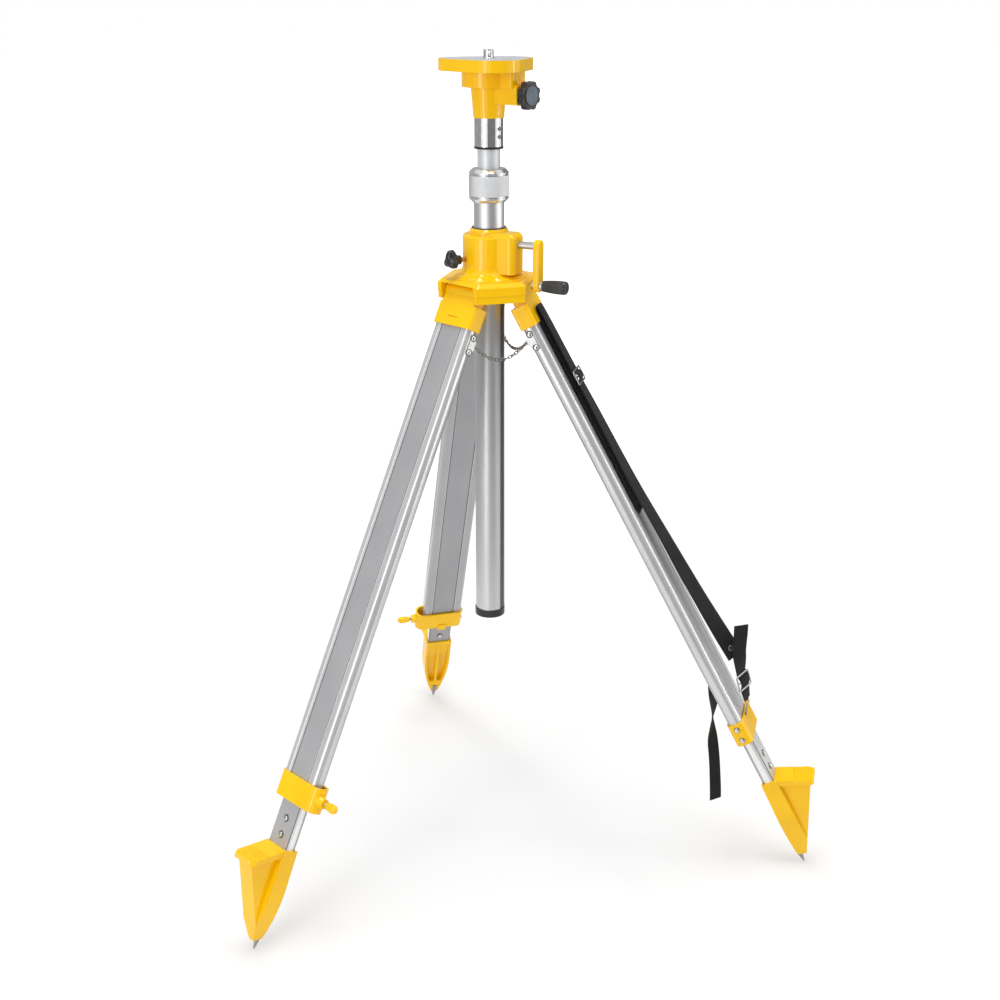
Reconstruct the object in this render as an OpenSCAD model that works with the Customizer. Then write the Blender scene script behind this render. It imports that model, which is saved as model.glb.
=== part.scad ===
// Elevating tripod. Three folding telescopic legs carry a two-piece hub. A crank on the hub
// lifts a racked column, a collar clamps the inner tube, and a side knob on the head turns the
// instrument screw. Millimetres, +Z up, origin on the ground under the column axis.

/* [Stance] */
// Height of the leg hinge pins above the ground
hinge_z = 1025; // [980:5:1070]
// Distance of the hinge pins from the column axis
hinge_r = 54; // [54:1:58]
// Direction of leg 1 in plan
leg_turn = -135; // [-180:5:180]
// Spread of leg 1 from the plumb line
spread_1 = 27.1; // [24:0.1:31]
// Spread of leg 2 from the plumb line
spread_2 = 28.7; // [24:0.1:31]
// Spread of leg 3 from the plumb line
spread_3 = 24.5; // [24:0.1:31]

/* [Hub] */
// Thickness of the upper casting's base, over the hinge line
base_t = 20; // [18:0.5:24]
// Thickness of the lower plate, under the hinge line
plate_t = 12; // [10:0.5:14]
// Distance of the flat sides between the legs from the column axis
facet_r = 77; // [74:1:84]
// Reach of the hinge ears from the column axis
ear_reach = 74; // [70:1:80]
// Diameter of the casting's round body
body_d = 87; // [82:1:92]
// Height of the body's shoulder over the hinge line
body_h = 90; // [88:1:94]
// Diameter of the ring on top of the body
ring_d = 64; // [60:1:68]
// Height of that ring
ring_h = 10; // [8:0.5:14]
// Diameter of the hinge pins
pin_d = 10; // [8:0.5:12]

/* [Column] */
// Diameter of the column tube
column_d = 50; // [48:0.5:52]
// Wall of the column tube
column_wall = 3.5; // [3:0.1:4]
// Depth of the column's foot below the hinge line
column_drop = 595; // [560:5:640]
// Height of the column tube's top over the hinge line
column_rise = 165; // [160:1:175]
// Width of the rack strip
rack_w = 14; // [10:0.5:16]
// Diameter of the clamp collar
collar_d = 65; // [60:1:70]
// Height of the clamp collar
collar_h = 53; // [48:1:60]
// Diameter of the inner tube
inner_d = 37; // [35:0.5:38]
// Wall of the inner tube
inner_wall = 2.5; // [1.5:0.1:3.5]

/* [Head] */
// Height of the head's top face over the hinge line
head_rise = 365; // [362:1:400]
// Thickness of the head plate
head_t = 18.5; // [16:0.5:22]
// Radius of the head plate's corners
head_corner_r = 45.5; // [40:0.5:50]
// Distance of the corners' centres from the axis
head_corner_at = 36; // [30:0.5:42]
// Diameter of the stage under the plate
stage_d = 86; // [80:1:92]
// Height of the stage
stage_h = 24.5; // [22:0.5:28]
// Diameter of the neck at its foot
neck_d = 49.5; // [49:0.5:54]
// Height of the neck
neck_h = 47.5; // [44:0.5:52]
// Diameter of the polished sleeve
sleeve_d = 46.5; // [44:0.5:47]
// Length of the sleeve that shows under the neck
sleeve_show = 44.5; // [38:0.5:50]
// Diameter of the instrument screw, 5/8 inch
screw_d = 15.88; // [15.5:0.01:16]
// Length of the instrument screw over the head
screw_show = 13; // [10:0.5:18]
// Diameter of the head knob over its lobes
knob_d = 44; // [40:1:50]

/* [Crank] */
// Direction of the crank in plan
crank_turn = -26; // [-30:1:-20]
// Height of the crank shaft over the hinge line
crank_rise = 77; // [76:0.5:78]
// Diameter of the crank shaft
crank_d = 12; // [10:0.5:13]
// Distance of the crank arm from the column axis
arm_at = 88; // [88:1:96]
// Width of the crank arm
arm_w = 22; // [20:0.5:26]
// Thickness of the crank arm
arm_t = 11; // [8:0.5:14]
// Throw of the crank
crank_throw = 64; // [55:1:72]
// Length of the crank's grip
grip_len = 42; // [36:1:55]

/* [Legs] */
// Width of the upper leg
leg_w = 80; // [78:1:84]
// Thickness of the upper leg
leg_t = 24.5; // [24:0.5:26]
// Width of each rail of the upper leg
rail_w = 17; // [16:0.5:17]
// Distance of the clamp's middle from the hinge pin
clamp_at = 863; // [800:1:865]
// Height of the clamp band
clamp_h = 42; // [36:1:43]
// Width of the lower leg
lower_w = 46; // [44:0.5:46]
// Thickness of the lower leg
lower_t = 20; // [18:0.5:20]
// Length of the lower leg
lower_len = 750; // [620:5:760]
// Distance of the bracket's lower edge from the hinge pin
cap_drop = 60; // [56:1:64]

/* [Feet] */
// Height of the foot's collar above the spike's tip
foot_top = 181; // [178:1:190]
// Width of the foot
foot_w = 54; // [52:1:60]
// Reach of the step beyond the spike
step_reach = 10; // [6:1:16]
// Diameter of the spike
spike_d = 11; // [8:0.5:12]
// Length of the spike that shows
spike_show = 20; // [16:1:26]

/* [Strap] */
// Width of the webbing
strap_w = 38; // [30:1:44]
// Thickness of the webbing
strap_t = 2; // [1.6:0.1:2.4]
// Length of the loose tail
tail_len = 235; // [180:5:250]

/* [Hidden] */
$fn = 64;
// Facet count of the rounded blends
blend_fn = 32;
// Overrun of every cut
over = 1;
// Radial clearance of running shafts
running = 0.06;
// Clearance of parts that sit in each other within one body
seat = 0.02;
// Clearance of sliding legs
slide_gap = 0.25;

// Colours
yellow = "gold";
silver = "silver";
steel = "lightsteelblue";
black = "dimgray";

// Stance
leg_count = 3;
leg_step = 360 / leg_count;
spreads = [spread_1, spread_2, spread_3];
// The leg's middle plane lies this far inside its hinge pin
leg_inset = 5;
// The spike stands this far inside the leg's middle plane
spike_off = 15;
tip_off = leg_inset + spike_off;
function leg_az(n) = leg_turn + leg_step * (n - 1);
function spread(n) = spreads[n - 1];
function leg_len(n) = (hinge_z - tip_off * sin(spread(n))) / cos(spread(n));

// Where a point of leg n lies in space: x outwards, y across, d down the leg from its pin
function leg_point(n, x, y, d) =
    let (
        r = hinge_r + x * cos(spread(n)) + d * sin(spread(n)),
        a = leg_az(n)
    )
    [
        r * cos(a) - y * sin(a),
        r * sin(a) + y * cos(a),
        hinge_z + x * sin(spread(n)) - d * cos(spread(n))
    ];

module leg_place(n)
    rotate([0, 0, leg_az(n)])
        translate([hinge_r, 0, hinge_z])
            rotate([0, -spread(n), 0])
                children();

module leg_middle(n) leg_place(n) translate([-leg_inset, 0, 0]) children();

module foot_place(n) leg_place(n) translate([-tip_off, 0, -leg_len(n)]) children();

module hub_place() translate([0, 0, hinge_z]) children();

module each_leg() for (n = [1 : leg_count]) rotate([0, 0, leg_az(n)]) children();

// Shapes used by several pieces
module round_rect(x, y, r) {
    square([x - 2 * r, y], center = true);
    square([x, y - 2 * r], center = true);
    for (i = [-1, 1], j = [-1, 1])
        translate([i * (x / 2 - r), j * (y / 2 - r)]) circle(r);
}

module ring(r_out, r_in, h)
    difference() {
        cylinder(r = r_out, h = h);
        translate([0, 0, -over]) cylinder(r = r_in, h = h + 2 * over);
    }

module along_x(x0, x1, r) translate([x0, 0, 0]) rotate([0, 90, 0]) cylinder(r = r, h = x1 - x0);

module along_y(y0, y1, r) translate([0, y0, 0]) rotate([-90, 0, 0]) cylinder(r = r, h = y1 - y0);

// A flat outline in x and z, given a width across y
module across(w) rotate([90, 0, 0]) linear_extrude(w, center = true) children();

// Bevel wheel on +Z with its cone's tip at the origin and a pitch cone of 45 degrees
bevel_teeth = 16;
bevel_face = 3.5;
bevel_add = 1;
bevel_ded = 1.5;
tooth_share = 0.32;
wheel_hub = 2.5;
tooth_end = 0.2;
tooth_sunk = 0.8;
module bevel_wheel(pitch_r, hub_r, hub_len) {
    step = 360 / bevel_teeth;
    small = pitch_r - bevel_face;
    root = bevel_ded + tooth_sunk;
    rotate_extrude()
        polygon([[0, small], [small - bevel_ded, small], [pitch_r - bevel_ded, pitch_r], [hub_r, pitch_r],
                 [hub_r, pitch_r + hub_len], [0, pitch_r + hub_len]]);
    for (i = [0 : bevel_teeth - 1])
        rotate([0, 0, (i - tooth_share / 2) * step])
            rotate_extrude(angle = tooth_share * step)
                polygon([for (z = [small + tooth_end, pitch_r - tooth_end], out = [0, 1])
                    let (r = z + ((z == small + tooth_end) == (out == 1) ? bevel_add : -root))
                    [r, z]]);
}

// Hub
ear_half = (facet_r - ear_reach * cos(leg_step / 2)) / sin(leg_step / 2);
body_r = body_d / 2;
ring_r = ring_d / 2;
pin_r = pin_d / 2;
base_chamfer = 6;
tier_r = 64;
tier_h = 3;
tier_round = 3;
flare = 13.5;
shoulder_round = 4;
ring_chamfer = 3.5;
arc_step = 15;
hub_wall = 6.5;
hub_hollow_h = 58;
// Knuckles of the legs turn in these slots
knuckle_r = 12.5;
knuckle_w = 72;
slot_gap = 1;
slot_w = knuckle_w + 2 * slot_gap;
slot_up = knuckle_r + 2 * slot_gap;
slot_in = hinge_r - knuckle_r - 1.5 * slot_gap;
ear_grip = 6;
split_step = 0.8;
pin_len = slot_w + 2 * ear_grip;

module hub_outline(inset)
    polygon([for (n = [1 : leg_count], s = [-1, 1])
        let (
            x = ear_reach - inset,
            y = s * (ear_half - inset / sin(leg_step / 2) + inset / tan(leg_step / 2)),
            a = leg_az(n)
        )
        [x * cos(a) - y * sin(a), x * sin(a) + y * cos(a)]]);

module leg_slots(z0, z1)
    each_leg()
        translate([slot_in, -slot_w / 2, z0])
            cube([ear_reach, slot_w, z1 - z0]);

module pin_grooves()
    each_leg()
        translate([hinge_r, 0, 0])
            along_y(-pin_len / 2 - seat, pin_len / 2 + seat, pin_r + seat);

// Screws that hold the plate to the casting
hub_screw_r = 2.5;
hub_screw_head_r = 4.5;
hub_screw_head_h = 5;
hub_screw_at = 61;
hub_screw_spread = 15;
hub_screw_up = 12;
module hub_screw_spots()
    for (n = [1 : leg_count], s = [-1, 1])
        rotate([0, 0, leg_az(n) + leg_step / 2 + s * hub_screw_spread])
            translate([hub_screw_at, 0, 0])
                children();

// Bushes that guide the column
column_r = column_d / 2;
bush_wall = 3;
bush_r = column_r + bush_wall;
bush_flange = 3;
bush_top_h = 8;

// Rack and pinion, in the crank's direction
rack_module = 1;
pinion_teeth = 14;
rack_pitch = PI * rack_module;
rack_add = 0.8 * rack_module;
rack_ded = 1.1 * rack_module;
rack_proud = 0.3;
pitch_x = column_r + rack_proud;
pinion_r = pinion_teeth * rack_module / 2;
pinion_x = pitch_x + pinion_r;
pinion_w = 10;
rack_tooth_share = 0.39;
tip_tooth_share = 0.24;
root_tooth_share = 0.58;
rack_web = 1;
rack_seat_x = pitch_x - rack_ded - rack_web;
rack_end_gap = 2;
rack_side_gap = 0.3;
crank_z = hinge_z + crank_rise;
rack_top_gap = 5;
rack_top = hinge_z + body_h + ring_h - rack_top_gap;

// Bevel pair of the crank
drive_r = 13;
crank_side = -10;
drive_back = 3.5;
shaft_r = 4;
crank_r = crank_d / 2;
gear_room = 0.8;
room_x0 = pinion_x - drive_r - bevel_add - gear_room;
room_x1 = pinion_x + drive_r + drive_back + 2 * gear_room;
room_y0 = crank_side - drive_r - drive_back - gear_room;
room_y1 = pinion_w / 2 + 3 * gear_room;
room_half = drive_r + bevel_add + gear_room;
box_wall = 9;
box_side = 4.5;
box_x = room_x1 + box_wall;
box_y0 = room_y0 - box_side;
box_y1 = room_y1 + box_side;
box_roof = 4;
box_top = crank_rise + room_half + box_roof;
box_foot = 30;
box_round = 10;

// Lock knob
lock_turn = -152;
lock_rise = 51;
lock_r = 4;
lock_tip_gap = 0.4;
lock_knob_at = 54;
lock_knob_h = 26;
lock_lobe_r = 7;
lock_lobe_at = 11;
lock_neck_r = 8;
lock_lobes = 3;
lock_grip_share = 0.7;
module lock_place() hub_place() rotate([0, 0, lock_turn]) translate([0, 0, lock_rise]) children();

module crank_place() hub_place() rotate([0, 0, crank_turn]) children();

module hub_body()
    rotate_extrude()
        polygon(concat(
            [[0, 0], [tier_r, 0], [tier_r, base_t + tier_h - tier_round]],
            [for (a = [0 : arc_step : 90])
                [tier_r - tier_round + tier_round * cos(a),
                 base_t + tier_h - tier_round + tier_round * sin(a)]],
            [for (a = [270 : -arc_step : 180])
                [body_r + flare + flare * cos(a), base_t + 2 * tier_h + flare + flare * sin(a)]],
            [for (a = [0 : arc_step : 90])
                [body_r - shoulder_round + shoulder_round * cos(a),
                 body_h - shoulder_round + shoulder_round * sin(a)]],
            [[ring_r, body_h], [ring_r, body_h + ring_h - ring_chamfer],
             [ring_r - ring_chamfer, body_h + ring_h], [0, body_h + ring_h]]));

module gear_box_outside()
    hull()
        for (x = [0, box_x - box_round], y = [box_y0 + box_round, box_y1 - box_round])
            translate([x, y, box_foot]) {
                cylinder(r = box_round, h = box_round, $fn = blend_fn);
                translate([0, 0, box_top - box_foot - box_round]) sphere(box_round, $fn = blend_fn);
            }

module hub_casting()
    color(yellow)
        hub_place()
            difference() {
                union() {
                    hull() {
                        linear_extrude(base_t - base_chamfer) hub_outline(0);
                        linear_extrude(base_t) hub_outline(base_chamfer);
                    }
                    hub_body();
                    rotate([0, 0, crank_turn]) gear_box_outside();
                }
                translate([0, 0, -over]) cylinder(r = body_r - hub_wall, h = hub_hollow_h + over);
                cylinder(r = bush_r + seat, h = body_h + ring_h + over);
                leg_slots(-over, slot_up);
                pin_grooves();
                hub_screw_spots()
                    translate([0, 0, -over]) cylinder(r = hub_screw_r + seat, h = hub_screw_up + over);
                rotate([0, 0, crank_turn]) translate([0, 0, crank_rise]) {
                    translate([room_x0, room_y0, -room_half])
                        cube([room_x1 - room_x0, room_y1 - room_y0, 2 * room_half]);
                    translate([0, crank_side, 0]) along_x(room_x0, box_x + over, crank_r + running);
                    translate([pinion_x, 0, 0])
                        along_y(box_y0 + box_side / 4, box_y1 - box_side / 4, shaft_r + running);
                }
                rotate([0, 0, lock_turn]) translate([0, 0, lock_rise])
                    along_x(column_r, body_r + flare, lock_r + running);
            }

module hub_plate()
    color(yellow)
        hub_place()
            difference() {
                translate([0, 0, -plate_t]) linear_extrude(plate_t) hub_outline(split_step);
                translate([0, 0, -plate_t - over]) cylinder(r = bush_r + seat, h = plate_t + 2 * over);
                leg_slots(-plate_t - over, over);
                pin_grooves();
                hub_screw_spots() translate([0, 0, -plate_t - over]) {
                    cylinder(r = hub_screw_r + seat, h = plate_t + 2 * over);
                    cylinder(r = hub_screw_head_r + seat, h = hub_screw_head_h + over);
                }
            }

module hub_screws()
    color(steel)
        hub_place()
            hub_screw_spots() translate([0, 0, -plate_t]) {
                cylinder(r = hub_screw_head_r, h = hub_screw_head_h);
                cylinder(r = hub_screw_r, h = plate_t + hub_screw_up - seat);
            }

module hinge_pins()
    color(steel)
        hub_place()
            each_leg() translate([hinge_r, 0, 0]) along_y(-pin_len / 2, pin_len / 2, pin_r);

module rack_path(z0, h)
    rotate([0, 0, crank_turn])
        translate([rack_seat_x, -rack_w / 2 - rack_side_gap, z0])
            cube([bush_wall + column_r, rack_w + 2 * rack_side_gap, h]);

module column_bushes()
    color(black)
        hub_place()
            difference() {
                union() {
                    translate([0, 0, -plate_t])
                        ring(bush_r, column_r + running, plate_t + bush_flange);
                    ring(bush_r + bush_flange, column_r + running, bush_flange);
                    translate([0, 0, body_h + ring_h - bush_top_h])
                        ring(bush_r, column_r + running, bush_top_h);
                }
                rack_path(-plate_t - over, plate_t + body_h + ring_h + 2 * over);
            }

// Column
cap_h = 13;
cap_foot = 5;
cap_skirt = 1.5;
column_foot = hinge_z - column_drop;
column_top = hinge_z + column_rise;
column_in_r = column_r - column_wall;

module column_tube()
    color(silver)
        difference() {
            translate([0, 0, column_foot + cap_foot])
                ring(column_r, column_in_r, column_top - column_foot - cap_foot);
            rotate([0, 0, crank_turn])
                translate([rack_seat_x - seat, -rack_w / 2 - seat, column_foot + cap_foot - over])
                    cube([column_r, rack_w + 2 * seat, rack_top + over - column_foot - cap_foot]);
        }

rack_foot = column_foot + cap_h + rack_end_gap;
rack_first = ceil((rack_foot - crank_z) / rack_pitch);
rack_last = floor((rack_top - crank_z) / rack_pitch) - 1;

module column_rack()
    color(steel)
        rotate([0, 0, crank_turn])
            across(rack_w)
                polygon(concat(
                    [[rack_seat_x, rack_foot], [pitch_x - rack_ded, rack_foot]],
                    [for (i = [rack_first : rack_last], p = [0 : 3])
                        let (
                            share = p == 0 || p == 3 ? root_tooth_share : tip_tooth_share,
                            side = p < 2 ? -1 : 1,
                            x = p == 0 || p == 3 ? pitch_x - rack_ded : pitch_x + rack_add
                        )
                        [x, crank_z + (i + (1 + side * share) / 2) * rack_pitch]],
                    [[pitch_x - rack_ded, rack_top], [rack_seat_x, rack_top]]));

module column_cap()
    color(black)
        difference() {
            translate([0, 0, column_foot]) cylinder(r = column_r + cap_skirt, h = cap_h);
            translate([0, 0, column_foot + cap_foot]) cylinder(r = column_r + seat, h = cap_h);
        }

// Clamp at the column's top
inner_r = inner_d / 2;
collet_show = 22;
collet_in = 30;
collet_slit = 2;
collet_slits = 4;
collet_edge = 0.3;
collar_under = 45;
collar_rise = column_rise + collet_show - collar_under;
collar_r = collar_d / 2;
collar_chamfer_r = 5;
collar_chamfer_h = 5.5;
collar_groove = 1;
collar_groove_w = 2.2;
collar_band = 2.4;
collar_roof = 7;

module column_collet()
    color(steel)
        difference() {
            union() {
                translate([0, 0, column_top - collet_in])
                    cylinder(r = column_in_r - seat, h = collet_in + collet_show);
                translate([0, 0, column_top]) cylinder(r = column_r - collet_edge, h = collet_show);
            }
            translate([0, 0, column_top - collet_in - over])
                cylinder(r = inner_r + running, h = collet_in + collet_show + 2 * over);
            for (i = [0 : collet_slits / 2 - 1])
                rotate([0, 0, i * 360 / collet_slits])
                    translate([-column_r, -collet_slit / 2, column_top + collet_slit])
                        cube([column_d, collet_slit, collet_show]);
        }

module collar_nut() {
    z_lip = collar_chamfer_h + collar_band;
    z_top = collar_h - z_lip;
    color(silver)
        translate([0, 0, hinge_z + collar_rise])
            rotate_extrude()
                polygon([[column_r + running, 0], [collar_r - collar_chamfer_r, 0],
                         [collar_r, collar_chamfer_h], [collar_r, z_lip],
                         [collar_r - collar_groove, z_lip + collar_groove / 2],
                         [collar_r - collar_groove, z_lip + collar_groove_w - collar_groove / 2],
                         [collar_r, z_lip + collar_groove_w], [collar_r, z_top - collar_groove_w],
                         [collar_r - collar_groove, z_top - collar_groove_w + collar_groove / 2],
                         [collar_r - collar_groove, z_top - collar_groove / 2],
                         [collar_r, z_top], [collar_r, collar_h - collar_chamfer_h],
                         [collar_r - collar_chamfer_r, collar_h],
                         [inner_r + 2 * collet_edge, collar_h],
                         [inner_r + 2 * collet_edge, collar_h - collar_roof],
                         [column_r + running, collar_h - collar_roof]]);
}

// Inner tube and head, heights measured down from the head's top face
head_z = hinge_z + head_rise;
neck_foot = head_t + stage_h + neck_h;
sleeve_seat = 12;
sleeve_foot = neck_foot + sleeve_show;
band_h = 3.5;
band_proud = 0.4;
inner_len = 665;
guide_h = 25;
guide_gap = 0.08;
sleeve_r = sleeve_d / 2;
set_screw_r = 3.5;
set_screw_turn = -43;
set_screw_at_shares = [0.37, 0.65];
set_screw_proud = 0.3;

module head_place() translate([0, 0, head_z]) children();

module inner_tube()
    color(silver)
        head_place()
            translate([0, 0, -neck_foot + sleeve_seat - inner_len])
                ring(inner_r, inner_r - inner_wall, inner_len);

module inner_guide()
    color(black)
        head_place()
            translate([0, 0, -neck_foot + sleeve_seat - inner_len])
                ring(column_in_r - guide_gap, inner_r + seat, guide_h);

module set_screw_spots()
    for (share = set_screw_at_shares)
        rotate([0, 0, set_screw_turn])
            translate([0, 0, -neck_foot - share * sleeve_show])
                children();

module head_sleeve()
    color(silver)
        head_place()
            difference() {
                translate([0, 0, -sleeve_foot]) ring(sleeve_r, inner_r + seat, sleeve_show + sleeve_seat);
                set_screw_spots() along_x(0, sleeve_d, set_screw_r + seat);
            }

module sleeve_ring()
    color(black)
        head_place()
            translate([0, 0, -sleeve_foot - band_h])
                ring(sleeve_r + band_proud, inner_r + seat, band_h);

module sleeve_screws()
    color(steel)
        head_place()
            difference() {
                set_screw_spots() along_x(inner_r - inner_wall, sleeve_r + set_screw_proud, set_screw_r);
                translate([0, 0, -sleeve_foot]) cylinder(r = inner_r + 2 * seat, h = sleeve_foot);
            }

// Head casting
head_turn = -76;
pad_t = 1;
pad_inset = 2.5;
pad_gap = 1.5;
neck_top_d = 57;
knob_turn = -41;
knob_down = 53;
boss_w = 28;
boss_h = 31;
boss_round = 5;
boss_reach = 70;
stage_arm_w = 36;
stage_arm_reach = 63;
head_drive_r = 11;
head_room_r = 20;
head_room_up = 27;
screw_flange_r = 11;
screw_flange_h = 3;
screw_r = screw_d / 2;
screw_shank_r = 9;

// Triangle with three round corners
corner_step = 5;
module head_outline(inset)
    polygon([for (n = [0 : leg_count - 1], a = [-leg_step / 2 : corner_step : leg_step / 2])
        let (
            middle = head_turn + n * leg_step,
            r = head_corner_r - inset
        )
        [head_corner_at * cos(middle) + r * cos(middle + a),
         head_corner_at * sin(middle) + r * sin(middle + a)]]);

module knob_axis() head_place() rotate([0, 0, knob_turn]) translate([0, 0, -knob_down]) children();

module head_casting()
    color(yellow)
        head_place()
            difference() {
                union() {
                    translate([0, 0, -head_t]) linear_extrude(head_t) head_outline(0);
                    translate([0, 0, -head_t - stage_h]) {
                        cylinder(d = stage_d, h = stage_h);
                        rotate([0, 0, knob_turn]) translate([stage_arm_reach / 2, 0, 0])
                            linear_extrude(stage_h) round_rect(stage_arm_reach, stage_arm_w, boss_round);
                    }
                    translate([0, 0, -neck_foot])
                        cylinder(d1 = neck_d, d2 = neck_top_d, h = neck_h);
                    rotate([0, 0, knob_turn]) translate([0, 0, -knob_down])
                        rotate([90, 0, 90]) linear_extrude(boss_reach) round_rect(boss_w, boss_h, boss_round);
                }
                translate([0, 0, -pad_t]) linear_extrude(pad_t + over) head_outline(pad_inset);
                translate([0, 0, -head_t - stage_h]) cylinder(r = screw_shank_r + running, h = neck_foot);
                translate([0, 0, -neck_foot - over]) {
                    cylinder(r = sleeve_r + seat, h = sleeve_seat + over);
                    cylinder(r = head_room_r, h = neck_foot - head_room_up + over);
                }
                rotate([0, 0, knob_turn]) translate([0, 0, -knob_down])
                    along_x(0, boss_reach + over, shaft_r + running);
            }

module head_pad()
    color("gray")
        head_place()
            translate([0, 0, -pad_t])
                difference() {
                    linear_extrude(pad_t) head_outline(pad_inset + seat);
                    translate([0, 0, -over]) cylinder(r = screw_shank_r + pad_gap, h = pad_t + 2 * over);
                }

module head_screw()
    color(steel)
        head_place()
            union() {
                translate([0, 0, -knob_down])
                    rotate([0, 0, knob_turn + 180 / bevel_teeth])
                        bevel_wheel(head_drive_r, screw_r / 2, screw_flange_h);
                translate([0, 0, -knob_down + head_drive_r])
                    cylinder(r = screw_shank_r, h = knob_down - head_drive_r);
                translate([0, 0, -head_t]) cylinder(r = screw_r, h = head_t + screw_show);
                translate([0, 0, -head_room_up - screw_flange_h - running])
                    cylinder(r = screw_flange_r, h = screw_flange_h);
            }

// Head knob
knob_at = 76.5;
knob_h = 12;
knob_hub_r = 11;
knob_lobes = 8;
knob_scallop_r = 8;
knob_scallop_in = 3;
knob_rim = 1.5;
disc_r = 14.5;
disc_t = 1.5;
knob_seat = 9;

module head_knob()
    color(black)
        knob_axis()
            difference() {
                union() {
                    translate([knob_at, 0, 0]) rotate([90, 0, 90])
                        linear_extrude(knob_h) difference() {
                            circle(d = knob_d);
                            for (i = [0 : knob_lobes - 1])
                                rotate([0, 0, i * 360 / knob_lobes])
                                    translate([knob_d / 2 + knob_scallop_r - knob_scallop_in, 0])
                                        circle(knob_scallop_r);
                        }
                    along_x(boss_reach + knob_rim / 2, knob_at + over, knob_hub_r);
                    along_x(knob_at + over, knob_at + knob_h + knob_rim, disc_r + knob_rim);
                }
                along_x(boss_reach, knob_at + knob_seat, shaft_r + seat);
                along_x(knob_at + knob_h + knob_rim - disc_t, knob_at + knob_h + disc_t, disc_r + seat);
            }

module knob_disc()
    color("slategray")
        knob_axis() along_x(knob_at + knob_h + knob_rim - disc_t, knob_at + knob_h + knob_rim, disc_r);

module knob_shaft()
    color(steel)
        knob_axis()
            union() {
                rotate([0, 90, 0]) bevel_wheel(head_drive_r, shaft_r + wheel_hub, screw_flange_h);
                along_x(head_drive_r, knob_at + knob_seat - seat, shaft_r);
            }

// Crank
arm_seat = 8;
bolt_r = 4;
bolt_head_r = 7;
bolt_head_h = 4;
washer_r = 8.5;
washer_h = 4;
grip_gap = 0.4;
grip_foot_r = 9;
grip_end_r = 11.2;
grip_round = 4;
bolt_in_grip = 30;

module crank_axis() crank_place() translate([0, crank_side, crank_rise]) children();

module grip_axis() crank_axis() translate([0, 0, -crank_throw]) children();

module crank_shaft()
    color(steel)
        crank_axis()
            union() {
                translate([pinion_x, 0, 0])
                    rotate([0, 90, 0]) bevel_wheel(drive_r, crank_r + wheel_hub, drive_back);
                along_x(pinion_x + drive_r, arm_at + arm_seat, crank_r);
            }

module crank_arm()
    color(yellow)
        crank_axis()
            difference() {
                translate([arm_at, 0, 0]) rotate([90, 0, 90])
                    linear_extrude(arm_t) {
                        circle(d = arm_w);
                        translate([0, -crank_throw]) circle(d = arm_w);
                        translate([-arm_w / 2, -crank_throw]) square([arm_w, crank_throw]);
                    }
                along_x(arm_at - over, arm_at + arm_seat + seat, crank_r + seat);
                translate([0, 0, -crank_throw]) along_x(arm_at - over, arm_at + arm_t + over, bolt_r + seat);
            }

module grip_bolt()
    color(steel)
        grip_axis()
            union() {
                along_x(arm_at - bolt_head_h, arm_at, bolt_head_r);
                along_x(arm_at - bolt_head_h, arm_at + arm_t + washer_h + bolt_in_grip, bolt_r);
                along_x(arm_at + arm_t, arm_at + arm_t + washer_h, washer_r);
            }

module crank_grip()
    color(black)
        grip_axis()
            translate([arm_at + arm_t + washer_h + grip_gap, 0, 0])
                rotate([0, 90, 0])
                    rotate_extrude()
                        polygon(concat(
                            [[bolt_r + running, 0], [grip_foot_r, 0]],
                            [for (a = [0 : arc_step : 90])
                                [grip_end_r - grip_round + grip_round * cos(a),
                                 grip_len - grip_round + grip_round * sin(a)]],
                            [[0, grip_len], [0, bolt_in_grip + grip_gap],
                             [bolt_r + running, bolt_in_grip + grip_gap]]));

// A pinion tooth's half angle at a radius, from its share of the rack's pitch
function tooth_half(r, share) = share * rack_pitch / (2 * r) * 180 / PI;

module pinion_outline() {
    step = 360 / pinion_teeth;
    root = pinion_r - rack_ded;
    tip = pinion_r + rack_add;
    polygon([for (i = [0 : pinion_teeth - 1], p = [0 : 3])
        let (
            r = p == 0 || p == 3 ? root : tip,
            half = tooth_half(r, r == root ? root_tooth_share : tip_tooth_share),
            a = 180 + i * step + (p < 2 ? -half : half)
        )
        [r * cos(a), r * sin(a)]]);
}

module pinion_shaft()
    color(steel)
        crank_place()
            translate([pinion_x, 0, crank_rise])
                union() {
                    across(pinion_w) pinion_outline();
                    along_y(box_y0 + box_side / 3, box_y1 - box_side / 3, shaft_r);
                    translate([0, crank_side, 0])
                        rotate([90, 0, 0])
                            rotate([0, 0, 180 / bevel_teeth])
                                bevel_wheel(drive_r, shaft_r + wheel_hub, drive_back);
                }

module lock_knob()
    color(black)
        lock_place()
            difference() {
                hull() {
                    along_x(lock_knob_at, lock_knob_at + over, lock_neck_r, $fn = blend_fn);
                    for (i = [0 : lock_lobes - 1])
                        rotate([i * 360 / lock_lobes, 0, 0])
                            translate([lock_knob_at + lock_knob_h - lock_lobe_r, 0, lock_lobe_at])
                                sphere(lock_lobe_r, $fn = blend_fn);
                }
                along_x(0, lock_knob_at + lock_grip_share * lock_knob_h, lock_r + seat);
            }

module lock_stud()
    color("peru")
        lock_place()
            along_x(column_r + lock_tip_gap, lock_knob_at + lock_grip_share * lock_knob_h - seat, lock_r);

// Legs
cap_wall = 3;
cap_round = 6;
cap_roof = 4;
shoulder_drop = 22;
web_in = 12;
rail_round = 7;
rail_hollow_r = 4;
rail_hollow_w = 12;
leg_wall = 1.8;
panel_sink = 0.8;
groove_w = 1.2;
groove_d = 0.5;
leg_fit = 0.1;
upper_top = shoulder_drop + cap_roof;
upper_past = 8;
upper_foot = clamp_at + upper_past;
bracket_slot_w = 22;
bracket_slot_h = 1.6;
bracket_slot_d = 1.5;
bracket_slot_up = 14;
rail_y = (leg_w - rail_w) / 2;

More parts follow.
